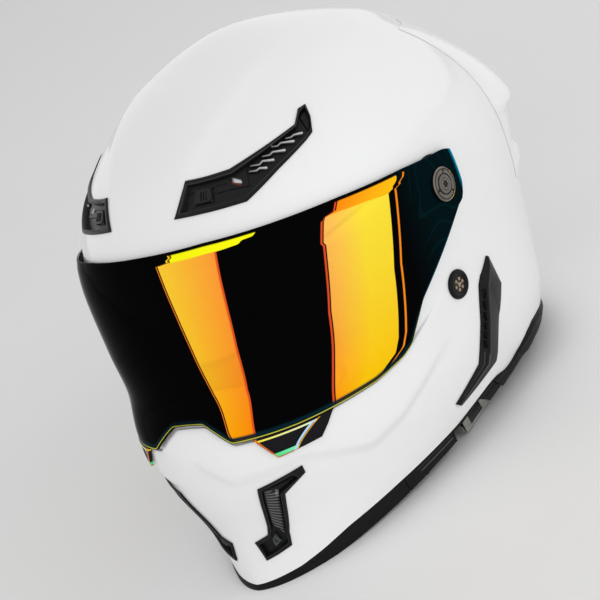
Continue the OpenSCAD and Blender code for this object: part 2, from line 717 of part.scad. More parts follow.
// Soft roll round the nape, with drawn-in edges
module neck_roll() {
    bearings = [112, 114, 119, for (a = [127.5:7.5:232.5]) a, 241, 246, 248];
    stations = [0.12, 0.22, 0.55, 1, 1.4, 1.72, 1.82];
    swell = [0.3, 0.75, 1, 1, 1, 0.75, 0.3];
    last = len(bearings) - 1;
    outer_gap = -trim_thickness - 0.5;
    function wing(j) = j == 0 || j == last ? 0.35 : j == 1 || j == last - 1 ? 0.75 : 1;
    color(cloth)
    layer_solid(
        [for (t = stations) [for (a = bearings) clear(t, a, outer_gap)]],
        [for (i = [0:6]) [for (j = [0:last]) clear(stations[i], bearings[j],
            outer_gap - 15 * swell[i] * wing(j))]]
    );
}

// Thin rubber guard that keeps breath off the lens, standing on the chin liner
module breath_guard() {
    bearings = [for (share = [-1:0.2:1]) share];
    rise = [3.36, 3.5, 3.75, 4, 4.2];
    spread = [24, 23, 20, 16, 11];
    function spot(i, share, off) = clear(rise[i] - (i == 4 && abs(share) < 0.3 ? 0.12 : 0),
        spread[i] * share, foam_outer - off);
    color(rubber)
    layer_solid(
        [for (i = [0:4]) [for (share = bearings) spot(i, share, 6 + 1.5 * i)]],
        [for (i = [0:4]) [for (share = bearings) spot(i, share, 7.8 + 1.5 * i)]]
    );
}

// Chin strap and quick release buckle

// How far the middle of the webbing lies ahead of the anchor cap
strap_ahead = 9;
strap_y = face(anchor_cap_at[0], anchor_cap_at[1], 0)[1] - strap_ahead;
strap_bearing = 79;
strap_in = foam_outer - 0.5 * strap_thickness - 3.2;
// Points of the webbing's middle in the XZ plane, from the anchor down and under the chin
strap_wall = [
    for (row = [[3.6, 0], [2.8, 0], [2, 0], [1.3, 0.1], [0.85, 0.7]])
        let (p = clear(row[0], strap_bearing, strap_in - row[1])) [p[0], p[2]]
];
strap_rim = clear(0.3, strap_bearing, -trim_thickness - 0.5 * strap_thickness - 6);
strap_level = strap_height + 0.5 * strap_thickness;
// Down past the trim, then inward under the chin
strap_turn = [
    [strap_rim[0], strap_rim[2] + 3], [strap_rim[0] - 1.4, strap_rim[2] - 3],
    [strap_rim[0] - 4.2, strap_level + 5], [strap_rim[0] - 7.5, strap_level + 1.4],
    [strap_rim[0] - 12, strap_level]
];
// The left webbing runs round the buckle's bar before it lies on the buckle's base
strap_loop = [
    [strap_rim[0], strap_rim[2] + 3], [strap_rim[0] - 1.4, strap_rim[2] - 3],
    [strap_rim[0] - 4.3, strap_level + 6.1], [strap_rim[0] - 4.2, strap_level + 3.7],
    [strap_rim[0] - 2.6, strap_level + 1.7], [strap_rim[0] - 2.9, strap_level - 0.6],
    [strap_rim[0] - 5.2, strap_level - 1.55], [strap_rim[0] - 9, strap_level - 1.2],
    [strap_rim[0] - 12, strap_level], [strap_rim[0] - 15, strap_level]
];
buckle_x = strap_rim[0] - 20;

module webbing(path) {
    n = len(path) - 1;
    function way(k) = unit(path[min(n, k + 1)] - path[max(0, k - 1)]);
    function edge(k, s) = path[k] + s * 0.5 * strap_thickness * [-way(k)[1], way(k)[0]];
    translate([0, strap_y + 0.5 * strap_width, 0])
    rotate([90, 0, 0])
    linear_extrude(strap_width)
    polygon([for (k = [0:n]) edge(k, 1), for (k = [n:-1:0]) edge(k, -1)]);
}

module strap_left() color(cloth)
    webbing(concat(strap_wall, strap_loop));

module strap_right() color(cloth)
    mirror([1, 0, 0])
    webbing(concat(strap_wall, strap_turn, [
        [strap_rim[0] - 24, strap_level], [-buckle_x + 26, strap_level]
    ]));

// Metal buckle body: a base, two cheeks with the lever's pin, and the bar in the strap's loop
buckle_base = 1.6;
buckle_length = 22;
buckle_width = strap_width + 2 * (buckle_cheek + buckle_fit);
buckle_end = strap_rim[0] - 12.2;
buckle_ear = strap_rim[0] - 3.7;
buckle_bar = [strap_rim[0] - 5.9, strap_level + 1.2];
buckle_bar_radius = 1.3;
pin_radius = 1.5;
pin_up = 6.2;
pin_fit = 0.05;
pin_x = buckle_x + 8;
lever_spring_room = 0.5;

module buckle_body() color(metal) {
    low = strap_level - 0.5 * strap_thickness - buckle_base;
    translate([buckle_end - buckle_length, strap_y - 0.5 * buckle_width, low])
        cube([buckle_length, buckle_width, buckle_base]);
    for (side = [-1, 1])
        translate([0, strap_y + side * 0.5 * (buckle_width - buckle_cheek) + 0.5 * buckle_cheek, 0])
        rotate([90, 0, 0])
        linear_extrude(buckle_cheek)
        polygon([
            [buckle_x - 8, low], [buckle_ear - 0.8, low], [buckle_ear, low + 0.8],
            [buckle_ear, low + 4.4], [buckle_ear - 5, low + 9.6], [buckle_x - 6.5, low + 10],
            [buckle_x - 8, low + 8.5]
        ]);
    cross_pin([pin_x, low + buckle_base + pin_up], pin_radius);
    cross_pin(buckle_bar, buckle_bar_radius);
}

module cross_pin(at, radius)
    translate([at[0], strap_y + 0.5 * buckle_width - 0.2, at[1]])
    rotate([90, 0, 0])
    cylinder(r = radius, h = buckle_width - 0.4, $fn = 32);

// Toothed tongue on the end of the right hand strap
tongue_width = buckle_width - 2 * buckle_cheek - 1;
tongue_low = strap_level + 0.5 * strap_thickness;
tongue_thickness = 2;
tooth_height = 0.8;

module buckle_tongue() color(metal) {
    start = buckle_x - 34;
    end = pin_x - 4;
    translate([start, strap_y - 0.5 * tongue_width, tongue_low])
        cube([end - start, tongue_width, tongue_thickness]);
    for (x = [buckle_x - 12:3:end - 3])
        translate([x, strap_y + 0.5 * tongue_width - 2, tongue_low + tongue_thickness])
        rotate([90, 0, 0])
        linear_extrude(tongue_width - 4)
        polygon([[0, 0], [2.4, 0], [2.4, tooth_height]]);
}

// Release lever: a hub round the pin, a flat arm and a ridged grip at its end
module buckle_lever() color(black) {
    hub = pin_radius + 1.6;
    width = tongue_width - 0.6;
    low = tongue_low + tongue_thickness + tooth_height + lever_spring_room;
    pin_z = strap_level - 0.5 * strap_thickness + pin_up;
    grip = buckle_x - 16;
    translate([0, strap_y + 0.5 * width, 0])
    rotate([90, 0, 0])
    difference() {
        linear_extrude(width)
        union() {
            translate([pin_x, pin_z]) circle(r = hub, $fn = 32);
            translate([grip, low]) square([pin_x - grip, pin_z + hub - low - 0.6]);
            for (k = [0:3])
                translate([grip + 1.2 + 2 * k, pin_z + hub - 0.7]) square([1, 0.9]);
        }
        translate([pin_x, pin_z, -1])
            cylinder(r = pin_radius + pin_fit, h = width + 2, $fn = 32);
    }
}

outer_shell();
rear_spoiler();
rear_exhaust();
brow_vent(1);  // brow_vent_left
brow_vent(-1);  // brow_vent_right
brow_slider(1);  // brow_slider_left
brow_slider(-1);  // brow_slider_right
chin_vent(1);  // chin_vent_left
chin_vent(-1);  // chin_vent_right
chin_slider(1);  // chin_slider_left
chin_slider(-1);  // chin_slider_right
side_vent(1);  // side_vent_left
side_vent(-1);  // side_vent_right
anchor_cap(1);  // anchor_cap_left
anchor_cap(-1);  // anchor_cap_right
chin_trim();
side_trim(1);  // side_trim_left
side_trim(-1);  // side_trim_right
nape_trim();
eye_port_seal();
visor_lens();
visor_tab(1);  // visor_tab_left
visor_tab(-1);  // visor_tab_right
pivot_plate(1);  // pivot_plate_left
pivot_plate(-1);  // pivot_plate_right
pivot_cap(1);  // pivot_cap_left
pivot_cap(-1);  // pivot_cap_right
pivot_screw(1);  // pivot_screw_left
pivot_screw(-1);  // pivot_screw_right
impact_liner();
chin_liner();
comfort_liner();
cheek_pad(1);  // cheek_pad_left
cheek_pad(-1);  // cheek_pad_right
neck_roll();
breath_guard();
strap_left();
strap_right();
buckle_body();
buckle_lever();
buckle_tongue();
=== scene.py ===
import math

import bpy
import numpy as np
from mathutils import Matrix


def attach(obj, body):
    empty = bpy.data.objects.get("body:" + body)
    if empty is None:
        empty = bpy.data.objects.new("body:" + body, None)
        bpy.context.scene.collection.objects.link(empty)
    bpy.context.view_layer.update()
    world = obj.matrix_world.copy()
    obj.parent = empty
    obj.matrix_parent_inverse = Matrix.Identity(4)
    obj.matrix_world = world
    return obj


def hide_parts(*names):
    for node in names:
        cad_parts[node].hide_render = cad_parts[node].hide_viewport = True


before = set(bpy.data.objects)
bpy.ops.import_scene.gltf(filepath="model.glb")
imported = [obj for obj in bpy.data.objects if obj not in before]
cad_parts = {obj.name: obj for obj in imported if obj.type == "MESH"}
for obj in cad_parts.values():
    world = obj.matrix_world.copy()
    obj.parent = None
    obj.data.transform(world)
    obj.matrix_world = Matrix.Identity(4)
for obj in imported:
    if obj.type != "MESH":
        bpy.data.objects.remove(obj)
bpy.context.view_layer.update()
scene = bpy.context.scene
print("frame loaded:", len(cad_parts), "nodes")

# camera: stands where the photograph was taken from
camera = {
    "place": (0.759686, -0.744061, 0.538769),
    "right": (0.73731, 0.49144, -0.46354),
    "up": (0.12692, 0.57317, 0.80955),
    "back": (0.66353, -0.65572, 0.36024),
    "lens": 107.916,
    "shift": (-0.02278, -0.10155),
}


def standing(spot, right, up, back):
    # matrix whose columns are the three axes and the place
    axes = np.array([right, up, back]).T
    return Matrix([[*axes[i], spot[i]] for i in range(3)] + [[0, 0, 0, 1]])


def addCamera():
    data = bpy.data.cameras.new("photoCamera")
    data.lens, data.sensor_width = camera["lens"], 36
    data.shift_x, data.shift_y = camera["shift"]
    data.clip_start, data.clip_end = 0.05, 60
    eye = bpy.data.objects.new("photoCamera", data)
    scene.collection.objects.link(eye)
    eye.matrix_world = standing(camera["place"], camera["right"], camera["up"], camera["back"])
    scene.camera = eye


addCamera()

# the skin that every piece lies on; lengths are millimetres until a mesh is made

helmet = {
    "width": 244, "length": 343, "height": 269, "shift": 2.4,
    "wall": 3.6, "cheekRise": 2.4, "bandRise": 1.6, "bandHalf": 44,
}
frontProfile = np.array([
    [-0.527, 0], [-0.503, 0.115], [-0.506, 0.242], [-0.486, 0.346], [-0.442, 0.431],
    [-0.419, 0.539], [-0.381, 0.703], [-0.328, 0.81], [-0.229, 0.911], [-0.092, 0.981],
    [0.086, 1]])
sideProfile = np.array([
    [0.402, 0.042, 0.056], [0.426, 0.013, 0.108], [0.455, -0.002, 0.204],
    [0.467, -0.005, 0.309], [0.476, -0.002, 0.409], [0.492, 0.001, 0.509],
    [0.5, 0.013, 0.625], [0.471, 0.024, 0.736], [0.389, 0.045, 0.848],
    [0.25, 0.065, 0.944], [0, 0.086, 1]])
rearProfile = np.array([
    [0.26, 0], [0.307, 0.011], [0.351, 0.078], [0.389, 0.171], [0.424, 0.271],
    [0.459, 0.375], [0.473, 0.483], [0.468, 0.606], [0.418, 0.74], [0.316, 0.874],
    [0.086, 1]])
frontFullness = np.array([1.18, 1.07, 0.98, 0.94, 0.92, 0.91, 0.9, 0.92, 0.95, 0.97, 1])
rearFullness = np.array([0.92, 0.89, 0.87, 0.87, 0.87, 0.88, 0.9, 0.93, 0.97, 1, 1.03])
crown = 10
sides = ((1, "left"), (-1, "right"))

# lines round the shell: pairs of bearing and station
rimLine = [(0, 0.1), (20, 0.15), (27, 0.22), (35, 0.34), (49, 0.41), (66, 0.44), (72, 0.55),
           (78, 0.64), (81, 0.58), (83.5, 0.32), (86.5, 0.33), (90, 0.42), (93, 0.62), (96, 0.82),
           (100, 1.04), (105, 1.22), (112, 1.3), (180, 1.3)]
visorLow = [(0, 3.6), (5, 3.58), (14, 3.08), (33, 3), (54, 2.95), (62, 3.04), (65, 3.15),
            (69, 3.62), (71, 3.85), (91.5, 5.05), (93, 5.6)]
visorHigh = [(0, 6.46), (20, 6.45), (48, 6.35), (58, 6.31), (78, 6.18), (91, 6.04), (93, 5.95)]
shellLow = [(0, 3.6), (5, 3.58), (14, 3.08), (33, 3), (54, 2.95), (62, 3.04), (65, 3.15),
            (75, 3.5), (180, 3.6)]
cheekCrease = [(0, 2.72), (10, 2.24), (31, 2.32), (48, 1.72), (57, 1.88), (69, 2.36),
               (83, 2.77), (90, 3.2)]
portLow = [(0, 4), (9, 3.95), (18, 3.5), (50, 3.45), (60, 3.65), (65, 4.1), (67, 4.7)]
portHigh = [(0, 5.95), (45, 5.92), (58, 5.8), (64, 5.5), (67, 4.9)]
portSide = 67


def lookup(x, line):
    # straight lines between the pairs, level past both ends
    line = np.asarray(line, float)
    return np.interp(x, line[:, 0], line[:, 1])


def softLookup(x, line, reach):
    # the looked up line averaged over a short reach, so that its corners are round
    return np.mean([lookup(x + d, line) for d in np.linspace(-reach, reach, 7)], 0)


def ease(f):
    g = np.clip(f, 0, 1)
    return g * g * (3 - 2 * g)


def mix(a, b, f):
    return a + (b - a) * f


def curve(rail, t, beyond):
    # smooth curve through four neighbours a, b, c, d of the rail, with f the share from b to c:
    # half of 2b + (c-a)f + (2a-5b+4c-d)f^2 + (3b-a-3c+d)f^3
    rail = np.asarray(rail, float)
    i = np.clip(np.floor(t).astype(int), 0, len(rail) - 2)
    f = t - i
    longer = np.concatenate([[2 * rail[0] - rail[1]], rail, [beyond]])
    a, b, c, d = (longer[i + k] for k in range(4))
    if rail.ndim == 2:
        f = f[..., None]
    return 0.5 * (2 * b + (c - a) * f + (2 * a - 5 * b + 4 * c - d) * f ** 2
                  + (3 * b - a - 3 * c + d) * f ** 3)


def skin(t, a):
    # point at station t and bearing a: front or rear rail and side rail, joined by powers of
    # the bearing's cosine and sine that say how full the section is
    t, a = np.broadcast_arrays(np.asarray(t, float), np.asarray(a, float))
    turn = np.radians(a)
    ahead = np.cos(turn) >= 0
    rail = np.where(ahead[..., None], curve(frontProfile, t, rearProfile[-2]),
                    curve(rearProfile, t, frontProfile[-2]))
    side = curve(sideProfile, t, sideProfile[-2] * [-1, 1, 1])
    power = np.where(ahead, curve(frontFullness, t, frontFullness[-1]),
                     curve(rearFullness, t, rearFullness[-1]))
    along = np.abs(np.cos(turn)) ** power
    across = np.abs(np.sin(turn)) ** power
    return np.stack([
        np.sign(np.sin(turn)) * side[..., 0] * across * helmet["width"],
        mix(side[..., 1], rail[..., 0], along) * helmet["length"] + helmet["shift"],
        mix(side[..., 2], rail[..., 1], along) * helmet["height"]], -1)


def unit(v):
    return v / np.linalg.norm(v, axis=-1, keepdims=True)


def outward(t, a):
    # unit normal: cross product of the steps along the bearing and along the station
    t, a = np.broadcast_arrays(np.minimum(np.asarray(t, float), crown - 0.1), np.asarray(a, float))
    return unit(np.cross(skin(t, a + 0.1) - skin(t, a - 0.1), skin(t + 0.01, a) - skin(t - 0.01, a)))


def bearing(a):
    return np.abs(np.where(np.asarray(a) > 180, np.asarray(a) - 360, a))


def relief(t, a):
    # cheeks raised between their crease and the visor's edge, and a raised band over the crown
    b = bearing(a)
    under = ease((lookup(b, shellLow) - t) / 0.06 - 0.3)
    above = ease((t - lookup(b, cheekCrease)) / 0.3 + 0.5)
    cheek = helmet["cheekRise"] * under * above * ease((80 - b) / 14)
    half = helmet["bandHalf"] * mix(0.72, 1.3, ease((t - 7) / 2))
    inside = ease((half + 9 - np.abs(skin(t, a)[..., 0])) / 18)
    return cheek + helmet["bandRise"] * inside * ease((t - 6.9) / 0.8)


def clear(t, a, off):
    # skin moved outward by a distance
    return skin(t, a) + np.asarray(off, float)[..., None] * outward(t, a)


def face(t, a, off):
    # the same with the shell's relief
    return clear(t, a, off + relief(t, a))


# meshes from grids of points

def addMesh(name, points, faces, sharp=35, uv=None):
    # faces is a list of index arrays, four or three to a row; points nothing uses are dropped
    used, flat = np.unique(np.concatenate([f.ravel() for f in faces]), return_inverse=True)
    sizes = np.concatenate([np.full(len(f), f.shape[1]) for f in faces])
    mesh = bpy.data.meshes.new(name)
    mesh.vertices.add(len(used))
    mesh.vertices.foreach_set("co", (points.reshape(-1, 3)[used] * 0.001).ravel())
    mesh.loops.add(len(flat))
    mesh.loops.foreach_set("vertex_index", flat.astype(np.int32).ravel())
    mesh.polygons.add(len(sizes))
    mesh.polygons.foreach_set("loop_start", np.concatenate([[0], np.cumsum(sizes)[:-1]]).astype(np.int32))
    mesh.update(calc_edges=True)
    for title, grid in (uv or {}).items():
        mesh.uv_layers.new(name=title).uv.foreach_set(
            "vector", grid.reshape(-1, 2)[used][flat].astype(np.float32).ravel())
    mesh.validate()
    mesh.shade_smooth()
    if sharp:
        mesh.set_sharp_from_angle(angle=math.radians(sharp))
    piece = bpy.data.objects.new(name, mesh)
    scene.collection.objects.link(piece)
    return piece


def layerFaces(keep, ring):
    # outer and inner grids joined: quads of each kept cell, and a wall wherever its neighbour isn't
    rows, cols = keep.shape
    width = cols if ring else cols + 1
    size = (rows + 1) * width
    r, c = np.nonzero(keep)

    def at(dr, dc, layer=0):
        return (r + dr) * width + (c + dc) % width + layer * size

    outer = np.stack([at(0, 0), at(0, 1), at(1, 1), at(1, 0)], -1)
    inner = np.stack([at(0, 0, 1), at(1, 0, 1), at(1, 1, 1), at(0, 1, 1)], -1)
    walls = []
    padded = np.pad(keep, ((1, 1), (0, 0)))
    beside = np.pad(keep, ((0, 0), (1, 1)), mode="wrap" if ring else "constant")
    for bare, ends in (
            (~padded[:-2], ((0, 1), (0, 0))), (~padded[2:], ((1, 0), (1, 1))),
            (~beside[:, 2:], ((1, 1), (0, 1))), (~beside[:, :-2], ((0, 0), (1, 0)))):
        gap = bare[r, c]
        (a, b), (d, e) = ends
        walls.append(np.stack([at(a, b), at(d, e), at(d, e, 1), at(a, b, 1)], -1)[gap])
    return [np.concatenate([outer, inner, *walls])]


def layer(name, outer, inner, keep=None, ring=False, sharp=35, uv=None):
    # closed solid between two grids of points, rows going up and columns round to the left
    rows, cols = outer.shape[:2]
    if keep is None:
        keep = np.ones((rows - 1, cols if ring else cols - 1), bool)
    points = np.concatenate([outer.reshape(-1, 3), inner.reshape(-1, 3)])
    twice = {title: np.concatenate([grid.reshape(-1, 2)] * 2) for title, grid in (uv or {}).items()}
    return addMesh(name, points, layerFaces(keep, ring), sharp, twice)


def domed(name, outer, inner, keep=None, sharp=35, uv=None):
    # the same round the whole helmet, closed at the crown by a point on each side
    rows, cols = outer.shape[:2]
    keep = np.ones((rows - 1, cols), bool) if keep is None else keep
    size = rows * cols
    quads = layerFaces(keep, True)[0]
    top = (rows - 1) * cols
    # the top row's wall gives way to two fans
    wall = np.isin(quads, np.arange(top, size)).sum(1) == 2
    wall &= np.isin(quads, np.arange(size + top, 2 * size)).sum(1) == 2
    c = np.arange(cols)
    n = (c + 1) % cols
    fans = np.concatenate([
        np.stack([top + c, top + n, np.full(cols, 2 * size)], -1),
        np.stack([size + top + n, size + top + c, np.full(cols, 2 * size + 1)], -1)])
    points = np.concatenate([outer.reshape(-1, 3), inner.reshape(-1, 3),
                             outer[-1].mean(0)[None], inner[-1].mean(0)[None]])
    twice = {title: np.concatenate([grid.reshape(-1, 2)] * 2 + [grid[-1, :1]] * 2)
             for title, grid in (uv or {}).items()}
    return addMesh(name, points, [quads[~wall], fans], sharp, twice)


def circle(radius, count):
    turn = np.linspace(0, math.tau, count, endpoint=False)
    return np.stack([np.cos(turn), np.sin(turn)], -1) * radius


def tube(name, points, centres, closed=False, sharp=35, uv=None):
    # rows of points joined up; an open tube gets a fan from a centre over each end
    rows, cols = points.shape[:2]
    r, c = np.meshgrid(np.arange(rows if closed else rows - 1), np.arange(cols), indexing="ij")
    n, m = (c + 1) % cols, (r + 1) % rows
    faces = [np.stack([r * cols + c, r * cols + n, m * cols + n, m * cols + c], -1).reshape(-1, 4)]
    points = points.reshape(-1, 3)
    if not closed:
        c = np.arange(cols)
        n, last, centre = (c + 1) % cols, (rows - 1) * cols, rows * cols
        faces.append(np.concatenate([
            np.stack([n, c, np.full(cols, centre)], -1),
            np.stack([last + c, last + n, np.full(cols, centre + 1)], -1)]))
        points = np.concatenate([points, centres])
    return addMesh(name, points, faces, sharp, uv)


def swept(name, path, side, section, closed=False, grow=None, sharp=35, uv=None):
    # tube: each point of the path, plus a section's two coordinates along its side and its normal
    before, after = np.roll(path, 1, 0), np.roll(path, -1, 0)
    if not closed:
        before[0], after[-1] = path[0], path[-1]
    way = unit(after - before)
    side = np.broadcast_to(np.asarray(side, float), way.shape)
    side = unit(side - (side * way).sum(-1, keepdims=True) * way)
    up = np.cross(way, side)
    grow = np.ones(len(path)) if grow is None else grow
    points = (path[:, None] + grow[:, None, None] * (
        section[None, :, :1] * side[:, None] + section[None, :, 1:] * up[:, None]))
    return tube(name, points, path[[0, -1]], closed, sharp, uv)


def between(marks, counts):
    # rows of values from mark to mark, with so many steps between each pair
    parts = [mix(marks[k], marks[k + 1], s) for k, n in enumerate(counts)
             for s in np.arange(n) / n]
    return np.stack([*parts, marks[-1]])


def applied(piece):
    # the mesh that the piece's modifiers make takes the place of its own
    bpy.context.view_layer.update()
    shown = piece.evaluated_get(bpy.context.evaluated_depsgraph_get())
    made = bpy.data.meshes.new_from_object(shown)
    piece.modifiers.clear()
    old, piece.data = piece.data, made
    bpy.data.meshes.remove(old)
    return made


def carve(piece, cutters, sharp=35):
    # takes the cutters out of the piece and deletes them
    for cutter in cutters:
        change = piece.modifiers.new("carve", "BOOLEAN")
        change.operation, change.object, change.solver = "DIFFERENCE", cutter, "MANIFOLD"
    made = applied(piece)
    for cutter in cutters:
        bpy.data.objects.remove(cutter)
    made.shade_smooth()
    made.set_sharp_from_angle(angle=math.radians(sharp))
    return piece


def place(piece, body, finish, slotName, *nodes):
    # rides on a body, takes its finish, and stands for CAD nodes
    piece.data.materials.clear()
    piece.data.materials.append(finish)
    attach(piece, body)
    if nodes:
        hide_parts(*nodes)
    return piece


# finishes

def group(name, inputs, outputs):
    # shader node group with named sockets, each a (name, kind, value)
    made = bpy.data.node_groups.new(name, "ShaderNodeTree")
    for title, kind, value in inputs:
        socket = made.interface.new_socket(title, in_out="INPUT", socket_type="NodeSocket" + kind)
        if value is not None:
            socket.default_value = value
    for title, kind in outputs:
        made.interface.new_socket(title, in_out="OUTPUT", socket_type="NodeSocket" + kind)
    return made, made.nodes.new("NodeGroupInput"), made.nodes.new("NodeGroupOutput")


def node(tree, kind, values=None, **settings):
    # one node, with its settings and with values or links for its inputs
    made = tree.nodes.new("ShaderNode" + kind)
    for key, value in settings.items():
        setattr(made, key, value)
    for key, value in (values or {}).items():
        if isinstance(value, bpy.types.NodeSocket):
            tree.links.new(value, made.inputs[key])
        else:
            made.inputs[key].default_value = value
    return made


def maths(tree, operation, *values, clamp=False):
    made = tree.nodes.new("ShaderNodeMath")
    made.operation, made.use_clamp = operation, clamp
    for k, value in enumerate(values):
        if isinstance(value, bpy.types.NodeSocket):
            tree.links.new(value, made.inputs[k])
        else:
            made.inputs[k].default_value = value
    return made.outputs[0]


def blendColour(tree, share, first, second):
    made = tree.nodes.new("ShaderNodeMix")
    made.data_type = "RGBA"
    for k, value in ((0, share), (6, first), (7, second)):
        if isinstance(value, bpy.types.NodeSocket):
            tree.links.new(value, made.inputs[k])
        else:
            made.inputs[k].default_value = value if k == 0 else (*value[:3], 1)
    return made.outputs[2]


def place3d(tree):
    return node(tree, "TexCoord").outputs["Object"]


def noise(tree, place, scale, detail=2.0, roughness=0.5):
    return node(tree, "TexNoise", {"Vector": place, "Scale": scale, "Detail": detail,
                                   "Roughness": roughness}).outputs["Fac"]


def makeGrain():
    # moulded grain: small bumps, with a broad slow change of tone and gloss
    made, start, end = group("mouldedGrain", [
        ("Place", "Vector", None), ("Grain", "Float", 1800.0), ("Broad", "Float", 14.0)],
        [("Height", "Float"), ("Tone", "Float"), ("Gloss", "Float")])
    place = start.outputs["Place"]
    fine = noise(made, place, start.outputs["Grain"], 3, 0.6)
    broad = noise(made, place, start.outputs["Broad"], 3, 0.55)
    middle = noise(made, place, maths(made, "MULTIPLY", start.outputs["Grain"], 0.16), 2)
    made.links.new(maths(made, "ADD", fine, maths(made, "MULTIPLY", middle, 0.6)), end.inputs["Height"])
    made.links.new(maths(made, "ADD", maths(made, "MULTIPLY", broad, 0.7),
                         maths(made, "MULTIPLY", fine, 0.3)), end.inputs["Tone"])
    made.links.new(maths(made, "ADD", maths(made, "MULTIPLY", middle, 0.5),
                         maths(made, "MULTIPLY", broad, 0.5)), end.inputs["Gloss"])
    return made


def makeWeave():
    # plain weave from two sine waves a quarter apart, with a little fibre noise
    made, start, end = group("wovenThreads", [
        ("Place", "Vector", None), ("Threads", "Float", 1.0), ("Fibre", "Float", 0.3)],
        [("Height", "Float"), ("Tone", "Float")])
    parts = node(made, "SeparateXYZ", {"Vector": start.outputs["Place"]})
    waves = [maths(made, "SINE", maths(made, "MULTIPLY", maths(
        made, "MULTIPLY", parts.outputs[k], start.outputs["Threads"]), math.tau)) for k in (0, 1)]
    over = maths(made, "MULTIPLY", waves[0], waves[1])
    fibre = noise(made, start.outputs["Place"], maths(made, "MULTIPLY", start.outputs["Threads"], 4.0), 2)
    height = maths(made, "ADD", maths(made, "MULTIPLY", over, 0.5),
                   maths(made, "MULTIPLY", fibre, start.outputs["Fibre"]))
    made.links.new(height, end.inputs["Height"])
    made.links.new(maths(made, "ADD", maths(made, "MULTIPLY", height, 0.5), 0.5, clamp=True),
                   end.inputs["Tone"])
    return made


grainGroup, weaveGroup = makeGrain(), makeWeave()


def finish(name, **fixed):
    # material whose Principled shader takes its fixed numbers on its own sockets
    made = bpy.data.materials.new(name)
    made.use_nodes = True
    tree = made.node_tree
    shader = tree.nodes["Principled BSDF"]
    for key, value in fixed.items():
        title = {"base": "Base Color", "coat": "Coat Weight", "coatRoughness": "Coat Roughness",
                 "sheen": "Sheen Weight", "sheenRoughness": "Sheen Roughness", "ior": "IOR",
                 "metallic": "Metallic", "roughness": "Roughness",
                 "specular": "Specular IOR Level"}[key]
        shader.inputs[title].default_value = (*value, 1) if key == "base" else value
    return made, tree, shader


def bump(tree, shader, height, distance, strength=1.0):
    made = node(tree, "Bump", {"Height": height, "Distance": distance, "Strength": strength})
    tree.links.new(made.outputs["Normal"], shader.inputs["Normal"])


def screen(r, g, b):
    # colour given as a screen shows it, as the linear one that the shader takes
    return tuple(((c + 0.055) / 1.055) ** 2.4 if c > 0.04 else c / 12.92 for c in (r, g, b))


def sharpStep(tree, distance, width):
    # 0 below the line and 1 above it, over a narrow width
    return maths(tree, "ADD", maths(tree, "MULTIPLY", distance, 1 / width), 0.5, clamp=True)


def past(tree, value, mark, width):
    # one where the value is greater than the mark, zero where it is less
    return sharpStep(tree, maths(tree, "SUBTRACT", value, mark), width)


def both(tree, *masks):
    total = masks[0]
    for mask in masks[1:]:
        total = maths(tree, "MULTIPLY", total, mask)
    return total


def within(tree, value, low, high, width=0.12):
    # 1 between two values of a distance
    return both(tree, past(tree, value, low, width),
                past(tree, high, value, width))


def uvParts(tree, name):
    parts = node(tree, "SeparateXYZ", {"Vector": node(tree, "UVMap", uv_map=name).outputs[0]})
    return parts.outputs[0], parts.outputs[1]


def moulded(name, dark, light, roughness, grain, depth, broad=14.0, marks=None, **fixed):
    # plastic, rubber or paint: two close tones, changing gloss and a fine grain; the two
    # parts of the UV map "marks" say where two other colours show, on some pieces painted highlights
    made, tree, shader = finish(name, **fixed)
    effect = node(tree, "Group")
    effect.node_tree = grainGroup
    tree.links.new(place3d(tree), effect.inputs["Place"])
    effect.inputs["Grain"].default_value = grain
    effect.inputs["Broad"].default_value = broad
    colour = blendColour(tree, effect.outputs["Tone"], dark, light)
    if marks:
        for part, tint in zip(uvParts(tree, "marks"), marks):
            colour = blendColour(tree, maths(tree, "MULTIPLY", part, 1.0, clamp=True), colour, tint)
    tree.links.new(colour, shader.inputs["Base Color"])
    low, high = roughness
    tree.links.new(maths(tree, "ADD", maths(tree, "MULTIPLY", effect.outputs["Gloss"], high - low), low),
                   shader.inputs["Roughness"])
    bump(tree, shader, effect.outputs["Height"], depth)
    return made


shellPaint = moulded("shellPaint", (0.83, 0.835, 0.835), (0.88, 0.883, 0.88), (0.26, 0.36), 420,
                     0.000012, 9.0, coat=0.8, coatRoughness=0.06)
blackTones = (0.0035, 0.0036, 0.004), (0.0085, 0.0088, 0.0095)
rubberTones = (0.0035, 0.0035, 0.0038), (0.0085, 0.0085, 0.009)
# its first mark colour is pale, for the brow's openings and for painted highlights; its second a dark red
ventPlastic = moulded("ventPlastic", *blackTones, (0.28, 0.42),
                      2600, 0.00003, 20.0, ((0.6, 0.61, 0.62), (0.16, 0.03, 0.015)), ior=1.26)
blackPlastic = moulded("blackPlastic", *blackTones, (0.3, 0.42),
                       2600, 0.00003, 20.0, ior=1.24)
sliderPlastic = moulded("sliderPlastic", (0.005, 0.0052, 0.0056), (0.011, 0.0115, 0.012), (0.26, 0.4),
                        2400, 0.00003, 22.0, ior=1.3)
tabGrey = moulded("tabGrey", (0.035, 0.038, 0.042), (0.075, 0.08, 0.086), (0.3, 0.42), 2400, 0.00003,
                  22.0, ior=1.4)
trimRubber = moulded("trimRubber", *rubberTones, (0.42, 0.62),
                     1900, 0.00005, 17.0, ior=1.24)
# its pale mark colour paints highlights along the trim's ledge
sideRubberWithHighlights = moulded("sideRubberWithHighlights", *rubberTones, (0.42, 0.62),
                     1900, 0.00005, 17.0, ((0.16, 0.16, 0.155), (0, 0, 0)), ior=1.24)
pivotPlastic = moulded("pivotPlastic", (0.006, 0.0065, 0.007), (0.011, 0.0115, 0.012), (0.35, 0.5),
                       2200, 0.00003, 18.0, ior=1.26)
leverPlastic = moulded("leverPlastic", (0.005, 0.005, 0.0055), (0.011, 0.011, 0.012), (0.18, 0.3),
                       2300, 0.00002, 18.0, specular=0.5)
print("finishes made")

# outer shell

shell = {"low": 46, "step": 5, "cheekToPort": 10, "port": 22, "brow": 10, "top": 62,
         "frontStep": 1.1, "rearStep": 1.45, "summit": 9.95}


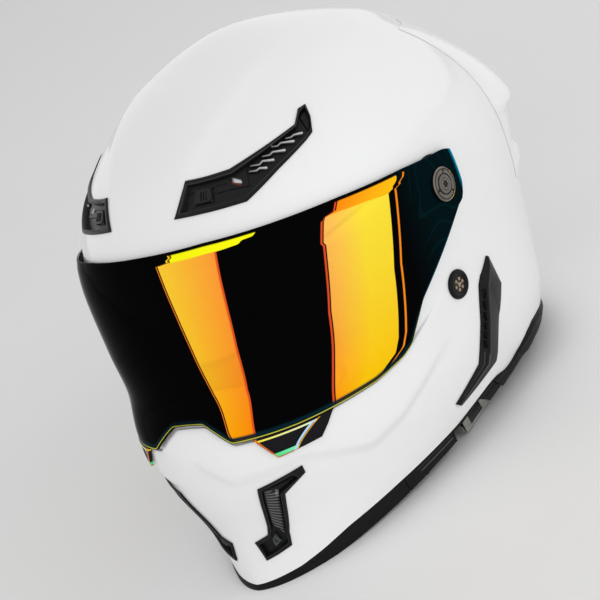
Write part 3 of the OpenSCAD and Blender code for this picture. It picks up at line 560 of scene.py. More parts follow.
def columns(step, rear):
    # bearings round the helmet, with the ends of the eye port among them
    ahead = np.linspace(-portSide, portSide, int(2 * portSide / step) // 2 * 2 + 1)
    behind = np.linspace(portSide, 360 - portSide, int((360 - 2 * portSide) / rear) + 1)
    return np.concatenate([ahead, behind[1:-1]])


def shellRows(a):
    b = bearing(a)
    edge = lookup(b, shellLow)
    marks = np.stack([lookup(b, rimLine), edge - 0.06, edge + 0.03, lookup(b, portLow),
                      lookup(b, portHigh), lookup(b, visorHigh), np.full(len(a), shell["summit"])])
    return between(marks, [shell[k] for k in ("low", "step", "cheekToPort", "port", "brow", "top")])


def onLadder(rungs, u, v):
    # u counts rungs along a vent and v goes across it from 0 to 1: station and bearing
    rungs = np.asarray(rungs, float)
    u, v = np.broadcast_arrays(np.asarray(u, float), np.asarray(v, float))
    i = np.clip(np.floor(u).astype(int), 0, len(rungs) - 2)
    f, g = (u - i)[..., None], v[..., None]
    near = mix(rungs[i, 0], rungs[i, 1], g)
    far = mix(rungs[i + 1, 0], rungs[i + 1, 1], g)
    return mix(near, far, f)


browRungs = [[[6.98, 11.8], [7.48, 16.6]], [[6.93, 24], [7.46, 24.4]], [[6.89, 34.8], [7.45, 31.4]],
             [[7.17, 46], [7.57, 43.5]], [[7.4, 57], [7.69, 55.2]], [[7.47, 59.6], [7.89, 58.4]],
             [[7.7, 61.2], [7.91, 61.6]]]
chinRungs = [[[0.53, 8.7], [0.94, 6.1]], [[0.58, 13.5], [1.03, 11.9]], [[0.65, 18.5], [1.2, 13]],
             [[0.93, 18.9], [1.45, 14]], [[1.72, 22.9], [2.01, 16.1]], [[1.96, 30.3], [2.13, 30.2]]]
sideRungs = [[[3.43, 93.3], [3.4, 93.9]], [[2.97, 88.5], [2.66, 94.6]], [[2.3, 84.6], [1.98, 89.5]],
             [[1.78, 80.9], [1.3, 84.8]], [[1.5, 78.7], [1.13, 83.2]], [[1.13, 68.5], [0.96, 69.3]]]


def ladder(name, rungs, us, vs, height, base, side, sharp=35, marks=None):
    # closed patch on a ladder between a surface of heights and a flat base
    # the vents' rungs run round to the left, so u is the column and v the row
    u, v = np.meshgrid(us, vs)
    if side < 0:
        u, v = u[:, ::-1], v[:, ::-1]
    p = onLadder(rungs, u, v)
    t, a = p[..., 0], side * p[..., 1]
    top = height(u, v) if callable(height) else np.full(u.shape, float(height))
    low = base(u, v) if callable(base) else np.full(u.shape, float(base))
    uv = {"marks": marks(u, v)} if marks else None
    return layer(name, face(t, a, top), face(t, a, low), sharp=sharp, uv=uv)


pivot = skin(5.52, 87)
pivotFloor = pivot[0] - 2.4


def pivotCutter(side, radius, low, high, count=96):
    # plain cylinder on the pivot axis
    turn = np.linspace(0, math.tau, count, endpoint=False) * side
    ring = np.stack([0 * turn, np.cos(turn) * radius, np.sin(turn) * radius], -1)
    centres = np.array([[side * x, pivot[1], pivot[2]] for x in (low, high)])
    return tube("cutter", ring + centres[:, None], centres, sharp=0)


def makeShell():
    a = columns(shell["frontStep"], shell["rearStep"])
    t = shellRows(a)
    outer, inner = face(t, a[None], 0.0), face(t, a[None], -helmet["wall"])
    keep = np.ones((t.shape[0] - 1, len(a)), bool)
    first = shell["low"] + shell["step"] + shell["cheekToPort"]
    middle = 0.5 * (a + np.roll(a, -1))
    keep[first:first + shell["port"], np.abs(middle) < portSide] = False
    piece = domed("outerShell", outer, inner, keep)
    cutters = []
    for side, _ in sides:
        for rungs in (browRungs, chinRungs):
            us = np.linspace(0.04, len(rungs) - 1.04, 60)
            cutters.append(ladder("cutter", rungs, us, np.linspace(0.04, 0.96, 9), 3, -7, side))
        cutters.append(pivotCutter(side, 18.7, pivotFloor, pivotFloor + 14))
    carve(piece, cutters)
    return place(piece, "helmet", shellPaint, "shell_paint", "outer_shell")


makeShell()
print("outer shell made")

# rear spoiler, with the grille in the groove between its step and its lip

spoiler = {"side": 124, "edge": 0.75, "seat": 0.12, "round": 0.45, "rows": 150, "columns": 150,
           "size": (110, 235)}
# up and along: count, length and edge radius of the grille's grid
grille = {"up": (16, 7, 0.5), "along": (300, 92, 0.5), "stations": (5.03, 5.26),
          "bearings": (157.5, 202.5), "pitch": 6.6, "slot": 1.75, "slotHalf": 0.075,
          "slotAt": 5.145, "slotsEnd": 18.5, "face": 1.6, "cut": 1.25, "seat": 0.15}
spoilerMiddle = [(4.4, 0), (4.7, 5), (4.8, 5), (5, 3), (5.3, 10.5), (5.42, 15), (5.65, 14.25),
                 (5.95, 11.7), (6.3, 8.7), (6.7, 5.7), (7.12, 3.3), (7.4, 2.1), (7.7, 1.2), (8.2, 0)]
spoilerSide = [(4.4, 0), (4.7, 3.2), (4.95, 3.2), (5.12, 0.6), (5.78, 3.5), (5.98, 10.6), (6.13, 11.2),
               (6.38, 9.6), (6.68, 7.4), (7, 5.2), (7.25, 3.6), (7.5, 2.3), (7.75, 1.3), (8.2, 0)]


def rounded(count, length, radius):
    # shares from edge to edge, close together round both edges, and how far each drops
    turn = np.linspace(0, math.pi / 2, 6)
    corner = radius * (1 - np.cos(turn))
    middle = np.linspace(radius, length - radius, count)[1:-1]
    at = np.concatenate([corner, middle, length - corner[::-1]])
    drop = radius * (1 - np.sin(turn))
    return at / length, np.concatenate([drop, np.zeros(count - 2), drop[::-1]])


def patch(rowSizes, colSizes):
    # shares up and across a patch with rounded edges, and how far each place drops there
    (rows, rowDrop), (cols, colDrop) = rounded(*rowSizes), rounded(*colSizes)
    return rows[:, None], cols[None], np.maximum(rowDrop[:, None], colDrop[None])


def spoilerHeight(t, a):
    # every bearing's own line of heights, between the side's and the middle's, averaged over a
    # short run of stations so that its corners are round
    t, a = np.broadcast_arrays(t, a)
    share = ease((44 - np.abs(a[0] - 180)) / 34)
    lines = mix(np.array(spoilerSide), np.array(spoilerMiddle), share[:, None, None])
    high = np.stack([softLookup(t[:, k], line, 0.035) for k, line in enumerate(lines)], 1)
    return spoiler["edge"] + high * ease((180 - spoiler["side"] - np.abs(a - 180)) / 9)


def makeSpoiler():
    tall, long = spoiler["size"]
    rows, cols, drop = patch((spoiler["rows"], tall, spoiler["round"]),
                             (spoiler["columns"], long, spoiler["round"]))
    t = mix(spoilerSide[0][0], spoilerSide[-1][0], rows)
    a = mix(spoiler["side"], 360 - spoiler["side"], cols)
    outer = face(t, a, spoilerHeight(t, a) - drop)
    piece = layer("rearSpoiler", outer, face(t, a, spoiler["seat"] + 0 * t * a))
    place(piece, "helmet", shellPaint, "shell_paint", "rear_spoiler")

    # grille: a bevelled plate with six slots through its face
    rows, cols, drop = patch(grille["up"], grille["along"])
    t, a = mix(*grille["stations"], rows), mix(*grille["bearings"], cols)
    beside = np.abs((a - 180) / grille["pitch"] % 1 - 0.5) * grille["pitch"]
    across = ease((grille["slot"] - beside) / 0.25)
    across = across * ease((grille["slotHalf"] - np.abs(t - grille["slotAt"])) / 0.012)
    across = across * (np.abs(a - 180) < grille["slotsEnd"])
    under = spoilerHeight(t, a)
    top = under + (grille["face"] - drop - grille["cut"] * across)
    piece = layer("rearGrille", face(t, a, top), face(t, a, under + grille["seat"]))
    place(piece, "helmet", blackPlastic, "vent_plastic", "rear_exhaust")


makeSpoiler()

# vents in the brow and the chin, with their sliders

vents = {"rim": 1.4, "seat": 0.35, "depth": 2.6, "floor": 1.0, "cell": 0.26, "bladeCell": 0.32}
# the frame's share across each vent and its two ends in rungs; the slider's place along and
# across, and its size along and across
browVent = {"rungs": browRungs, "across": 0.13, "ends": (0.12, 5.75),
            "at": (0.45, 0.3), "size": (0.6, 0.42)}
chinVent = {"rungs": chinRungs, "across": 0.16, "ends": (0.12, 4.75),
            "at": (1.05, 0.34), "size": (0.65, 0.34)}
blade = {"rungs": sideRungs, "across": 0, "ends": (0, 5)}


def strokes(t, a, lines, perDegree, perStation=27.0):
    # distance in millimetres to the nearest of some broken lines, each of (station, bearing)
    here = np.stack([a * perDegree, t * perStation], -1)
    nearest = np.full(here.shape[:-1], 1e9)
    for line in lines:
        points = np.array([(b * perDegree, s * perStation) for s, b in line])
        for p, q in zip(points[:-1], points[1:]):
            way = q - p
            share = np.clip(((here - p) @ way) / (way @ way), 0, 1)
            nearest = np.minimum(nearest, np.linalg.norm(here - p - share[..., None] * way, axis=-1))
    return nearest


def ventSizes(rungs):
    # lengths in millimetres along the vent for each rung space, and across it
    rungs = np.array(rungs, float)
    points = face(rungs[..., 0], rungs[..., 1], 0.0)
    middle = points.mean(1)
    return (np.linalg.norm(np.diff(middle, axis=0), axis=1),
            np.linalg.norm(points[:, 1] - points[:, 0], axis=1))


def ladderPlaces(rungs, cell):
    # places along and across a vent, a cell apart, with every rung among those along it
    lengths, widths = ventSizes(rungs)
    us = np.concatenate([k + np.arange(max(4, int(n / cell))) / max(4, int(n / cell))
                         for k, n in enumerate(lengths)] + [[len(lengths)]])
    return us, np.linspace(0, 1, int(widths.max() / cell) + 1)


def ventFrame(u, v, vent):
    # height of the rim with its bevels, and how far inside the rim's opening a place is, in mm
    lengths, widths = ventSizes(vent["rungs"])
    run = np.concatenate([[0], np.cumsum(lengths)])
    at, across = np.arange(len(run)), vent["across"]
    s, width = np.interp(u, at, run), np.interp(u, at, widths)
    outside = np.minimum(np.minimum(v, 1 - v) * width, np.minimum(s, run[-1] - s))
    start, end = np.interp(vent["ends"], at, run)
    inside = np.minimum(np.minimum(v - across, 1 - across - v) * width, np.minimum(s - start, end - s))
    rim = vents["rim"] - 0.75 * ease(1 - outside / 0.8)
    return rim, inside


def framed(rim, floor, inside, crest, share):
    # the sunken floor within its rim, with a fine line engraved along part of the rim's crest
    rim = rim - 0.22 * ease((0.28 - np.abs(inside + crest)) / 0.14) * share
    return np.where(inside > 0, mix(rim, floor, ease(inside / 0.3)), rim)


browBars = [[(7.32, 37.3), (7.294, 39.5), (7.312, 40.5), (7.278, 42.7)],
            [(7.392, 38), (7.361, 40.8), (7.393, 42), (7.348, 45.4)],
            [(7.456, 42.3), (7.435, 44.6), (7.459, 45.8), (7.412, 49.6)],
            [(7.535, 45.9), (7.512, 47.8), (7.536, 49), (7.481, 53.2)],
            [(7.567, 51), (7.549, 52.7), (7.565, 53.9), (7.54, 56.6)]]
browLines = [[(7.313, 16.2), (7.279, 21.8), (7.302, 22.7), (7.283, 25.5), (7.308, 26.3), (7.279, 29.5)],
             [(7.2, 23.9), (7.122, 25.7), (7.066, 27.1), (7.03, 26.4)]]
browPane = [[(7.3, 31.3), (7.232, 33.6)]]
chinTip = [[(1.79, 21.6), (1.945, 27.6)], [(1.93, 19.6), (1.97, 27.2)]]


def browMarksAndHighlight(u, v):
    # pale zig-zag openings and pane, the pane's dark red lower half, and a painted highlight along the
    # rim's inner edge
    p = onLadder(browRungs, u, v)
    t, a = p[..., 0], p[..., 1]
    bars = 0
    for bar in browBars:
        share = np.clip((a - bar[0][1]) / (bar[-1][1] - bar[0][1]), 0, 1)
        near = ease((0.32 + 0.25 * share - strokes(t, a, [bar], 1.7)) / 0.25)
        bars = np.maximum(bars, near * (0.3 + 0.7 * share))
    # painted highlight: light caught by the rim's inner edge
    inside = ventFrame(u, v, browVent)[1]
    bars = np.maximum(bars, 0.09 * ease((0.24 - np.abs(inside + 0.15)) / 0.14))
    pane = ease((1.25 - strokes(t, a, browPane, 1.75)) / 0.25)
    upper = ease((t - np.interp(a, [30, 34], [7.31, 7.22])) * 27 / 0.5 + 0.6)
    return np.stack([np.maximum(bars, pane * upper * ease((a - 31) / 1.2)), pane * (1 - upper)], -1)


def browHeight(u, v):
    rim, inside = ventFrame(u, v, browVent)
    p = onLadder(browRungs, u, v)
    t, a = p[..., 0], p[..., 1]
    floor = -vents["depth"] + 0.5 * ease((1.1 - np.abs(u - 0.25)) / 0.5) * (u < 1.3)
    bars = strokes(t, a, browBars, 1.7)
    floor = floor + 1.9 * ease((0.62 - bars) / 0.2)
    # stepped shelf above the slider, with an engraved line, and the small pale window
    shelf = ease((t - np.interp(a, [17, 24, 31, 37], [7.21, 7.2, 7.17, 7.12])) * 27 / 0.35)
    shelf = shelf * ease((36.6 - a) / 0.3)
    floor = mix(floor, -1.9 - 0.5 * ease((0.45 - strokes(t, a, browLines, 1.75)) / 0.25), shelf)
    floor = floor - 0.8 * ease((1.2 - strokes(t, a, browPane, 1.75)) / 0.2)
    # trough of the bent up tip
    tip = ease((u - 4.75) / 0.08)
    floor = mix(floor, -1.5, tip * ease((0.9 - np.abs(v - 0.5) * 2.6) / 0.2))
    return framed(rim, floor, inside, 0.75, ease((u - 0.3) / 0.2))


def chinTeeth(u, v):
    # saw teeth two millimetres apart along the channel, leaning across it
    run = np.concatenate([[0], np.cumsum(ventSizes(chinRungs)[0])])
    tooth = (np.interp(u, np.arange(len(run)), run) / 2.1 + v * 3.4) % 1
    return ease((0.34 - np.abs(tooth - 0.5)) / 0.16) * ease((u - 2.35) / 0.08) * ease((4.0 - u) / 0.08)


def chinMarksAndHighlights(u, v):
    # painted highlights on the crests of the teeth and along the rim's inner edge, and a small pale block
    crest = chinTeeth(u, v) * ease((0.3 - np.abs(v - 0.52)) / 0.12)
    block = ease((0.09 - np.abs(u - 3.93)) / 0.03) * ease((0.07 - np.abs(v - 0.3)) / 0.02)
    inside = ventFrame(u, v, chinVent)[1]
    edge = 0.07 * ease((0.24 - np.abs(inside + 0.15)) / 0.14)
    return np.stack([np.maximum(0.24 * crest + 0.3 * block, edge), 0 * u], -1)


def chinHeight(u, v):
    rim, inside = ventFrame(u, v, chinVent)
    p = onLadder(chinRungs, u, v)
    t, a = p[..., 0], p[..., 1]
    floor = -vents["depth"] + 1.5 * chinTeeth(u, v) * ease((inside - 0.6) / 0.4)
    floor = mix(floor, -0.9, ease((u - 4.05) / 0.06))
    floor = floor - 0.9 * ease((0.5 - strokes(t, a, chinTip, 1.75)) / 0.25) * (u > 4)
    return framed(rim, floor, inside, 0.8, ease((1.6 - u) / 0.2))


def ventBase(rungs):
    # underside: the rim's seat on the shell, and the sunken body within it
    def base(u, v):
        outside = np.minimum(np.minimum(v, 1 - v) * 13, np.minimum(u, len(rungs) - 1 - u) * 14)
        return mix(vents["seat"], -vents["depth"] - vents["floor"], ease((outside - 1.05) / 0.2))
    return base


def sliderHeight(vent, low=-0.2, high=1.2):
    # flat slider with three raised grip ribs across it and bevelled edges
    (start, edgeAt), (length, width) = vent["at"], vent["size"]

    def height(u, v):
        along, across = (u - start) / length, (v - edgeAt) / width
        lean = along + 0.12 * (across - 0.5)
        ribs = np.max([ease((0.045 - np.abs(lean - c)) / 0.03) for c in (0.38, 0.52, 0.66)], 0)
        ribs = ribs * ease((0.3 - np.abs(across - 0.5)) / 0.05)
        end = np.maximum(np.abs(along - 0.5) - 0.3, 0) / 0.2
        edge = 0.5 - np.sqrt((0.5 * end) ** 2 + (across - 0.5) ** 2)
        return low + (high - low) * ribs * 0.6 - (low + 1.0) * ease(1 - edge / 0.07)
    return height


def makeVents():
    for side, hand in sides:
        title = hand.capitalize()
        for label, vent, height, marks, grip in (
                ("brow", browVent, browHeight, browMarksAndHighlight, sliderPlastic),
                ("chin", chinVent, chinHeight, chinMarksAndHighlights, tabGrey)):
            rungs, at, size = vent["rungs"], vent["at"], vent["size"]
            us, vs = ladderPlaces(rungs, vents["cell"])
            piece = ladder(f"{label}Vent{title}", rungs, us, vs, height, ventBase(rungs), side, 28, marks)
            place(piece, "helmet", ventPlastic, "vent_plastic", f"{label}_vent_{hand}")
            us = np.linspace(at[0], at[0] + size[0], 90)
            vs = np.linspace(at[1], at[1] + size[1], 34)
            piece = ladder(f"{label}Slider{title}", rungs, us, vs, sliderHeight(vent), -2.0, side, 28)
            place(piece, f"{label}_slider_{hand}", grip, "slider_plastic", f"{label}_slider_{hand}")
        # side exhaust blade: a ridge along it, a chamfered foot and teeth along its front edge
        us, vs = ladderPlaces(sideRungs, vents["bladeCell"])
        piece = ladder(f"sideVent{title}", sideRungs, us, vs, bladeHeight, 0.2, side, 26, bladeHighlights)
        place(piece, "helmet", ventPlastic, "vent_plastic", f"side_vent_{hand}")


def bladeCrest(u):
    return np.interp(u, [0, 1, 2, 3, 4, 5], [0.3, 0.27, 0.3, 0.34, 0.4, 0.38])


def bladeHighlights(u, v):
    # painted highlights along the ridge's crest and beside the groove
    crestline = bladeCrest(u)
    leg = ease((u - 3.05) / 0.2) * ease((4.85 - u) / 0.1)
    lines = np.maximum(ease((0.035 - np.abs(v - crestline)) / 0.02),
                       ease((0.03 - np.abs(v - crestline + 0.17)) / 0.02))
    upper = ease((0.03 - np.abs(v - crestline)) / 0.02) * ease((u - 0.4) / 0.3)
    return np.stack([0.13 * np.maximum(lines * leg, 0.5 * upper), 0 * u], -1)


def bladeHeight(u, v):
    inside = ventFrame(u, v, blade)[1]
    crestline = bladeCrest(u)
    front = np.clip(v / crestline, 0, 1)
    behind = np.clip((1 - v) / (1 - crestline), 0, 1)
    tall = np.interp(u, [0, 0.35, 1, 3, 3.4, 5], [0.8, 2.2, 3.2, 3.2, 2.6, 1.1])
    ridge = np.where(v < crestline, 0.55 * front + 0.45 * front ** 3, behind ** 0.85)
    top = 0.9 + tall * ridge
    # six openings in front of the ridge, teeth along the front lip, and a groove beside the crest
    notch = ((u - 1.12) / 0.3) % 1
    cut = ease((0.41 - np.abs(notch - 0.5)) / 0.05) * ease((crestline - 0.06 - v) / 0.02)
    cut = cut * np.where(v < 0.12, 0.55 * (notch < 0.55), 1) * (u > 1.12) * (u < 2.92)
    top = mix(top, 0.45, cut)
    groove = ease((0.05 - np.abs(v - crestline + 0.14)) / 0.025)
    groove = groove * ease((u - 3.1) / 0.2) * ease((4.8 - u) / 0.2)
    top = top - 0.35 * groove
    return np.minimum(top, 0.35 + 1.2 * np.clip(inside / 0.5, 0, 1) + tall * np.clip(inside / 0.6, 0, 1))


makeVents()
print("spoiler and vents made")

# rubber trims round the rim, and the seal round the eye port

trims = {"split": 50, "napeSplit": 79, "seam": 0.15, "stand": 0.8, "napeStand": 1.8, "thick": 6, "rows": 40,
         "opening": (63.6, 74.4), "ledge": 0.45, "step": (55.0, 52.6)}
seal = {"wide": 5, "round": 0.8, "top": 1.3, "seat": 0.4, "perDegree": 2.1, "perStation": 30}
trimLow = [(0, -0.08), (95, -0.08), (100, 0.06), (106, 0.34), (116, 0.44), (180, 0.46)]


def rimTrim(name, start, end, stand, node):
    # from the table's level, or from below the opening for the strap, up to just under the shell's
    # edge: the upper half stands back behind a ledge, with a rounded shoulder and rounded ends
    length = abs(end - start) * 2.1
    cols, colDrop = rounded(int(length / 1.2), length, 0.35)
    a = mix(start, end, cols)[None]
    b = bearing(a)
    s = np.linspace(0, 1, trims["rows"])[:, None]
    high = lookup(b, rimLine) - 0.01
    heights = [face(np.full(a.shape, t), a, stand)[..., 2] for t in (-0.08, 0.02)]
    level = -0.08 + 0.1 * heights[0] / (heights[0] - heights[1])
    low = np.maximum(lookup(b, trimLow), np.minimum(level, 0.05))
    side = stand < 1
    if side:
        opening = ease((b - trims["opening"][0]) / 0.7) * ease((trims["opening"][1] - b) / 0.7)
        low = mix(low, high - 0.07, opening)
    t = mix(low, high, s)
    off = stand * (1 - 0.7 * ease((s - 0.84) / 0.16))
    marks = None
    if side:
        step = mix(trims["step"][0], trims["step"][1], s)
        # painted highlights: pale lines along the ledge and higher up, stopping at the seam and the strap's
        # opening
        line = ease((0.022 - np.abs(s - 0.52)) / 0.012) + ease((0.018 - np.abs(s - 0.8)) / 0.012) * 0.5
        line = 0.7 * line * (1 - ease((b - 63) / 0.5)) * ease((b - step) / 0.4)
        marks = {"marks": np.stack([line + 0 * a, 0 * line + 0 * a], -1)}
        ledge = ease((s - 0.5) / 0.05) * (1 - opening)
        off = off - trims["ledge"] * ledge
        # a second, slanting seam: ahead of it the trim is proud
        off = off - 0.3 * ease((b - step) / 0.12) + 0.25 * ease((0.3 - np.abs(b - step)) / 0.12)
    else:
        off = off - 0.5 * ease((0.05 - np.abs(s - 0.52)) / 0.03)
    off = off - colDrop[None]
    outer, inner = face(t, a, off), face(t, a, -trims["thick"] + 0 * t * a)
    for grid in (outer, inner):
        grid[..., 2] = np.maximum(grid[..., 2], 0)
    piece = layer(name, outer, inner, uv=marks)
    return place(piece, "helmet", sideRubberWithHighlights if side else trimRubber, "trim_rubber", node)


def makeTrims():
    split, nape, seam = trims["split"], trims["napeSplit"], trims["seam"]
    rimTrim("chinTrim", -split, split, trims["stand"], "chin_trim")
    rimTrim("sideTrimLeft", split + seam, nape - seam, trims["stand"], "side_trim_left")
    rimTrim("sideTrimRight", 360 - nape + seam, 360 - split - seam, trims["stand"], "side_trim_right")
    rimTrim("napeTrim", nape, 360 - nape, trims["napeStand"], "nape_trim")


def makeSeal():
    # ring round the port: across its top to the left, back along its bottom, and outward by rows
    half = portSide * np.sin(np.linspace(0, math.pi / 2, 46))
    along = np.concatenate([-half[:0:-1], half])
    wide = seal["wide"]
    grow, drop = rounded(8, wide, seal["round"])
    up = grow[:, None] * wide / seal["perStation"]
    wide = along[None] * (1 + grow[:, None] * wide / seal["perDegree"] / portSide)
    t = np.concatenate([lookup(np.abs(along), portHigh)[None] + up,
                        (lookup(np.abs(along), portLow)[None] - up)[:, ::-1]], 1)
    a = np.concatenate([wide, wide[:, ::-1]], 1)
    piece = layer("eyePortSeal", clear(t, a, seal["top"] - drop[:, None] + 0 * a),
                  clear(t, a, seal["seat"] + 0 * a), ring=True)
    place(piece, "helmet", trimRubber, "trim_rubber", "eye_port_seal")


makeTrims()
makeSeal()
print("trims and seal made")

# visor: lens, lift tabs and the hardware of its pivots

visor = {"gap": 2.6, "thick": 2.2, "rear": 92.5, "round": 0.8, "rows": 84, "columns": 330, "tall": 92,
         "perDegree": 2.09, "perStation": 27.0}
# the lens's crease and the edges of its two colour bands, painted reflections of two lamps: pairs to look
# up
creaseLine = [(0, 6.29), (22, 6.26), (35, 6.2), (57, 6.09), (65, 6.02), (72, 5.94), (93, 5.75)]
firstReflectionLeft = [(3.0, 15.6), (3.3, 13.6), (4.25, 10.3), (5.08, 8.6), (5.64, 7.4), (6.27, 5.8),
             (6.275, 9.9), (6.33, 9.6), (6.36, 10.9), (6.4, 10.2), (6.46, 10.6), (6.5, 10.6)]
firstReflectionRight = [(3.0, 21.5), (3.2, 21.1), (4.14, 20.2), (5.03, 21.2), (5.61, 22.3), (6.26, 23.5),
              (6.265, 34.2), (6.3, 33.8), (6.33, 35), (6.37, 34.6), (6.42, 35.9), (6.5, 36)]
secondReflectionLeft = [(2.96, 42.9), (3.93, 44.6), (4.88, 47.2), (5.51, 50.1), (5.75, 51.2), (5.78, 50.7),
              (6.1, 52.9), (6.105, 56.3), (6.25, 57.9), (6.5, 58)]
secondReflectionRight = [(3.09, 56), (3.25, 60.3), (3.5, 61.9), (4.89, 66), (5.96, 71.3), (5.97, 73),
               (6.02, 73.2), (6.04, 74.6), (6.1, 75.4), (6.3, 75.9)]


def makeVisorMirror():
    # UV maps hold distances in millimetres on the lens: to each band's two edges, to the crease
    # and to the outline; thin lines and bands are what lies between two such distances. The two orange
    # and yellow bands, their strips above the crease and the thin lines beside them are painted
    # reflections of two lamps in the mirror coating
    made, tree, shader = finish("visorMirror", roughness=0.07, ior=1.035)
    left, right = uvParts(tree, "firstReflectionBand")
    left2, right2 = uvParts(tree, "secondReflectionBand")
    crease, edge = uvParts(tree, "creaseAndEdge")
    rear, height = uvParts(tree, "rearAndHeight")
    where = place3d(tree)
    drift = noise(tree, where, 26.0, 2)
    above = sharpStep(tree, crease, 0.3)
    body = past(tree, edge, 1.7, 0.5)

    deep = blendColour(tree, past(tree, rear, 34, 22),
                       screen(0.01, 0.075, 0.09), screen(0.02, 0.02, 0.025))
    # faint contour lines in the coating of the side plate
    loops = noise(tree, where, 30.0, 0.5)
    contour = maths(tree, "ABSOLUTE", maths(tree, "SUBTRACT", maths(
        tree, "FRACT", maths(tree, "MULTIPLY", loops, 7.0)), 0.5))
    lines = both(tree, past(tree, 0.07, contour, 0.08),
                 past(tree, 34, rear, 6))
    deep = blendColour(tree, maths(tree, "MULTIPLY", lines, 0.2), deep, screen(0.02, 0.2, 0.22))

    # first painted reflection band: gold to peach across it, paler higher up, a red edge on its right and
    # yellow above the crease
    share = maths(tree, "DIVIDE", left, maths(tree, "SUBTRACT", left, right), clamp=True)
    low = maths(tree, "MULTIPLY", height, 1 / 80, clamp=True)
    gold = blendColour(tree, low, screen(1, 0.64, 0), screen(1, 0.82, 0.2))
    peach = blendColour(tree, low, screen(1, 0.53, 0), screen(1, 0.6, 0.22))
    first = blendColour(tree, maths(tree, "ADD", maths(tree, "MULTIPLY", drift, 0.25),
                                    maths(tree, "SUBTRACT", share, 0.12), clamp=True), gold, peach)
    first = blendColour(tree, within(tree, right, -1.2, 0.2, 0.8), first, screen(0.9, 0.32, 0.12))
    first = blendColour(tree, above, first, screen(1, 0.99, 0.08))
    inFirstReflection = both(tree, sharpStep(tree, left, 0.3),
                   sharpStep(tree, maths(tree, "MULTIPLY", right, -1), 0.3), body)

    # second painted reflection band: orange to yellow across it, paler higher up
    share = maths(tree, "DIVIDE", left2, maths(tree, "SUBTRACT", left2, right2), clamp=True)
    orange = blendColour(tree, low, screen(1, 0.56, 0.02), screen(1, 0.7, 0.36))
    yellow = blendColour(tree, low, screen(1, 0.78, 0.02), screen(1, 0.9, 0.24))
    second = blendColour(tree, maths(tree, "ADD", maths(tree, "MULTIPLY", share, 1.5), maths(
        tree, "MULTIPLY", drift, 0.3), clamp=True), orange, yellow)
    second = blendColour(tree, above, second,
                         blendColour(tree, share, screen(1, 0.55, 0.08), screen(1, 0.76, 0.08)))
    inSecondReflection = both(tree, sharpStep(tree, left2, 0.3),
                    sharpStep(tree, maths(tree, "MULTIPLY", right2, -1), 0.3), body)

    colour = blendColour(tree, inFirstReflection, deep, first)
    colour = blendColour(tree, inSecondReflection, colour, second)
    # thin painted reflection lines beside the bands
    thin = both(tree, within(tree, left, -1.25, -0.75), body)
    colour = blendColour(tree, thin, colour, screen(0.95, 0.5, 0.15))
    thin = both(tree, within(tree, left, -2.4, -1.5), above, body)
    colour = blendColour(tree, thin, colour, screen(1, 0.9, 0.05))
    thin = both(tree, within(tree, left2, -1.9, -0.8, 0.3), body)
    colour = blendColour(tree, thin, colour, screen(0.85, 0.3, 0.15))
    thin = both(tree, within(tree, right2, 4.2, 5.4, 0.25), body)
    colour = blendColour(tree, thin, colour, screen(0.98, 0.55, 0.1))

    # coloured rims: blue behind, and a thin pale line with a teal one inside it below; the pale line is a
    # painted highlight on the lens's edge
    lower = past(tree, 18, height, 8)
    colour = blendColour(tree, both(tree, within(tree, edge, 0.45, 1.0, 0.2), lower), colour,
                         screen(0.8, 0.78, 0.3))
    colour = blendColour(tree, both(tree, within(tree, edge, 1.3, 3.2, 1.2), lower), colour,
                         screen(0.03, 0.14, 0.17))
    blue = blendColour(tree, maths(tree, "MULTIPLY", height, 1 / 75, clamp=True), screen(0.0, 0.14, 0.2),
                       screen(0.0, 0.55, 0.7))
    side = both(tree, within(tree, edge, -1, 1.2, 1.0),
                past(tree, 48, rear, 12),
                past(tree, 46, height, 6))
    colour = blendColour(tree, maths(tree, "MULTIPLY", side, 0.8), colour, screen(0.0, 0.3, 0.36))
    colour = blendColour(tree, past(tree, 1.2, rear, 1.4), colour, blue)
    tree.links.new(colour, shader.inputs["Base Color"])
    # where the painted reflection bands lie, the lens is a little metallic
    lit = maths(tree, "MAXIMUM", inFirstReflection, inSecondReflection)
    tree.links.new(maths(tree, "MULTIPLY", lit, 0.25), shader.inputs["Metallic"])
    smudge = noise(tree, where, 11.0, 3, 0.6)
    tree.links.new(maths(tree, "ADD", maths(tree, "MULTIPLY", smudge, 0.06), 0.04),
                   shader.inputs["Roughness"])
    return made


def makeVisorBack():
    made, tree, shader = finish("visorBack", roughness=0.12, coat=0.3, coatRoughness=0.05)
    smudge = noise(tree, place3d(tree), 14.0, 3)
    tree.links.new(blendColour(tree, smudge, (0.012, 0.009, 0.006), (0.03, 0.018, 0.007)),
                   shader.inputs["Base Color"])
    return made


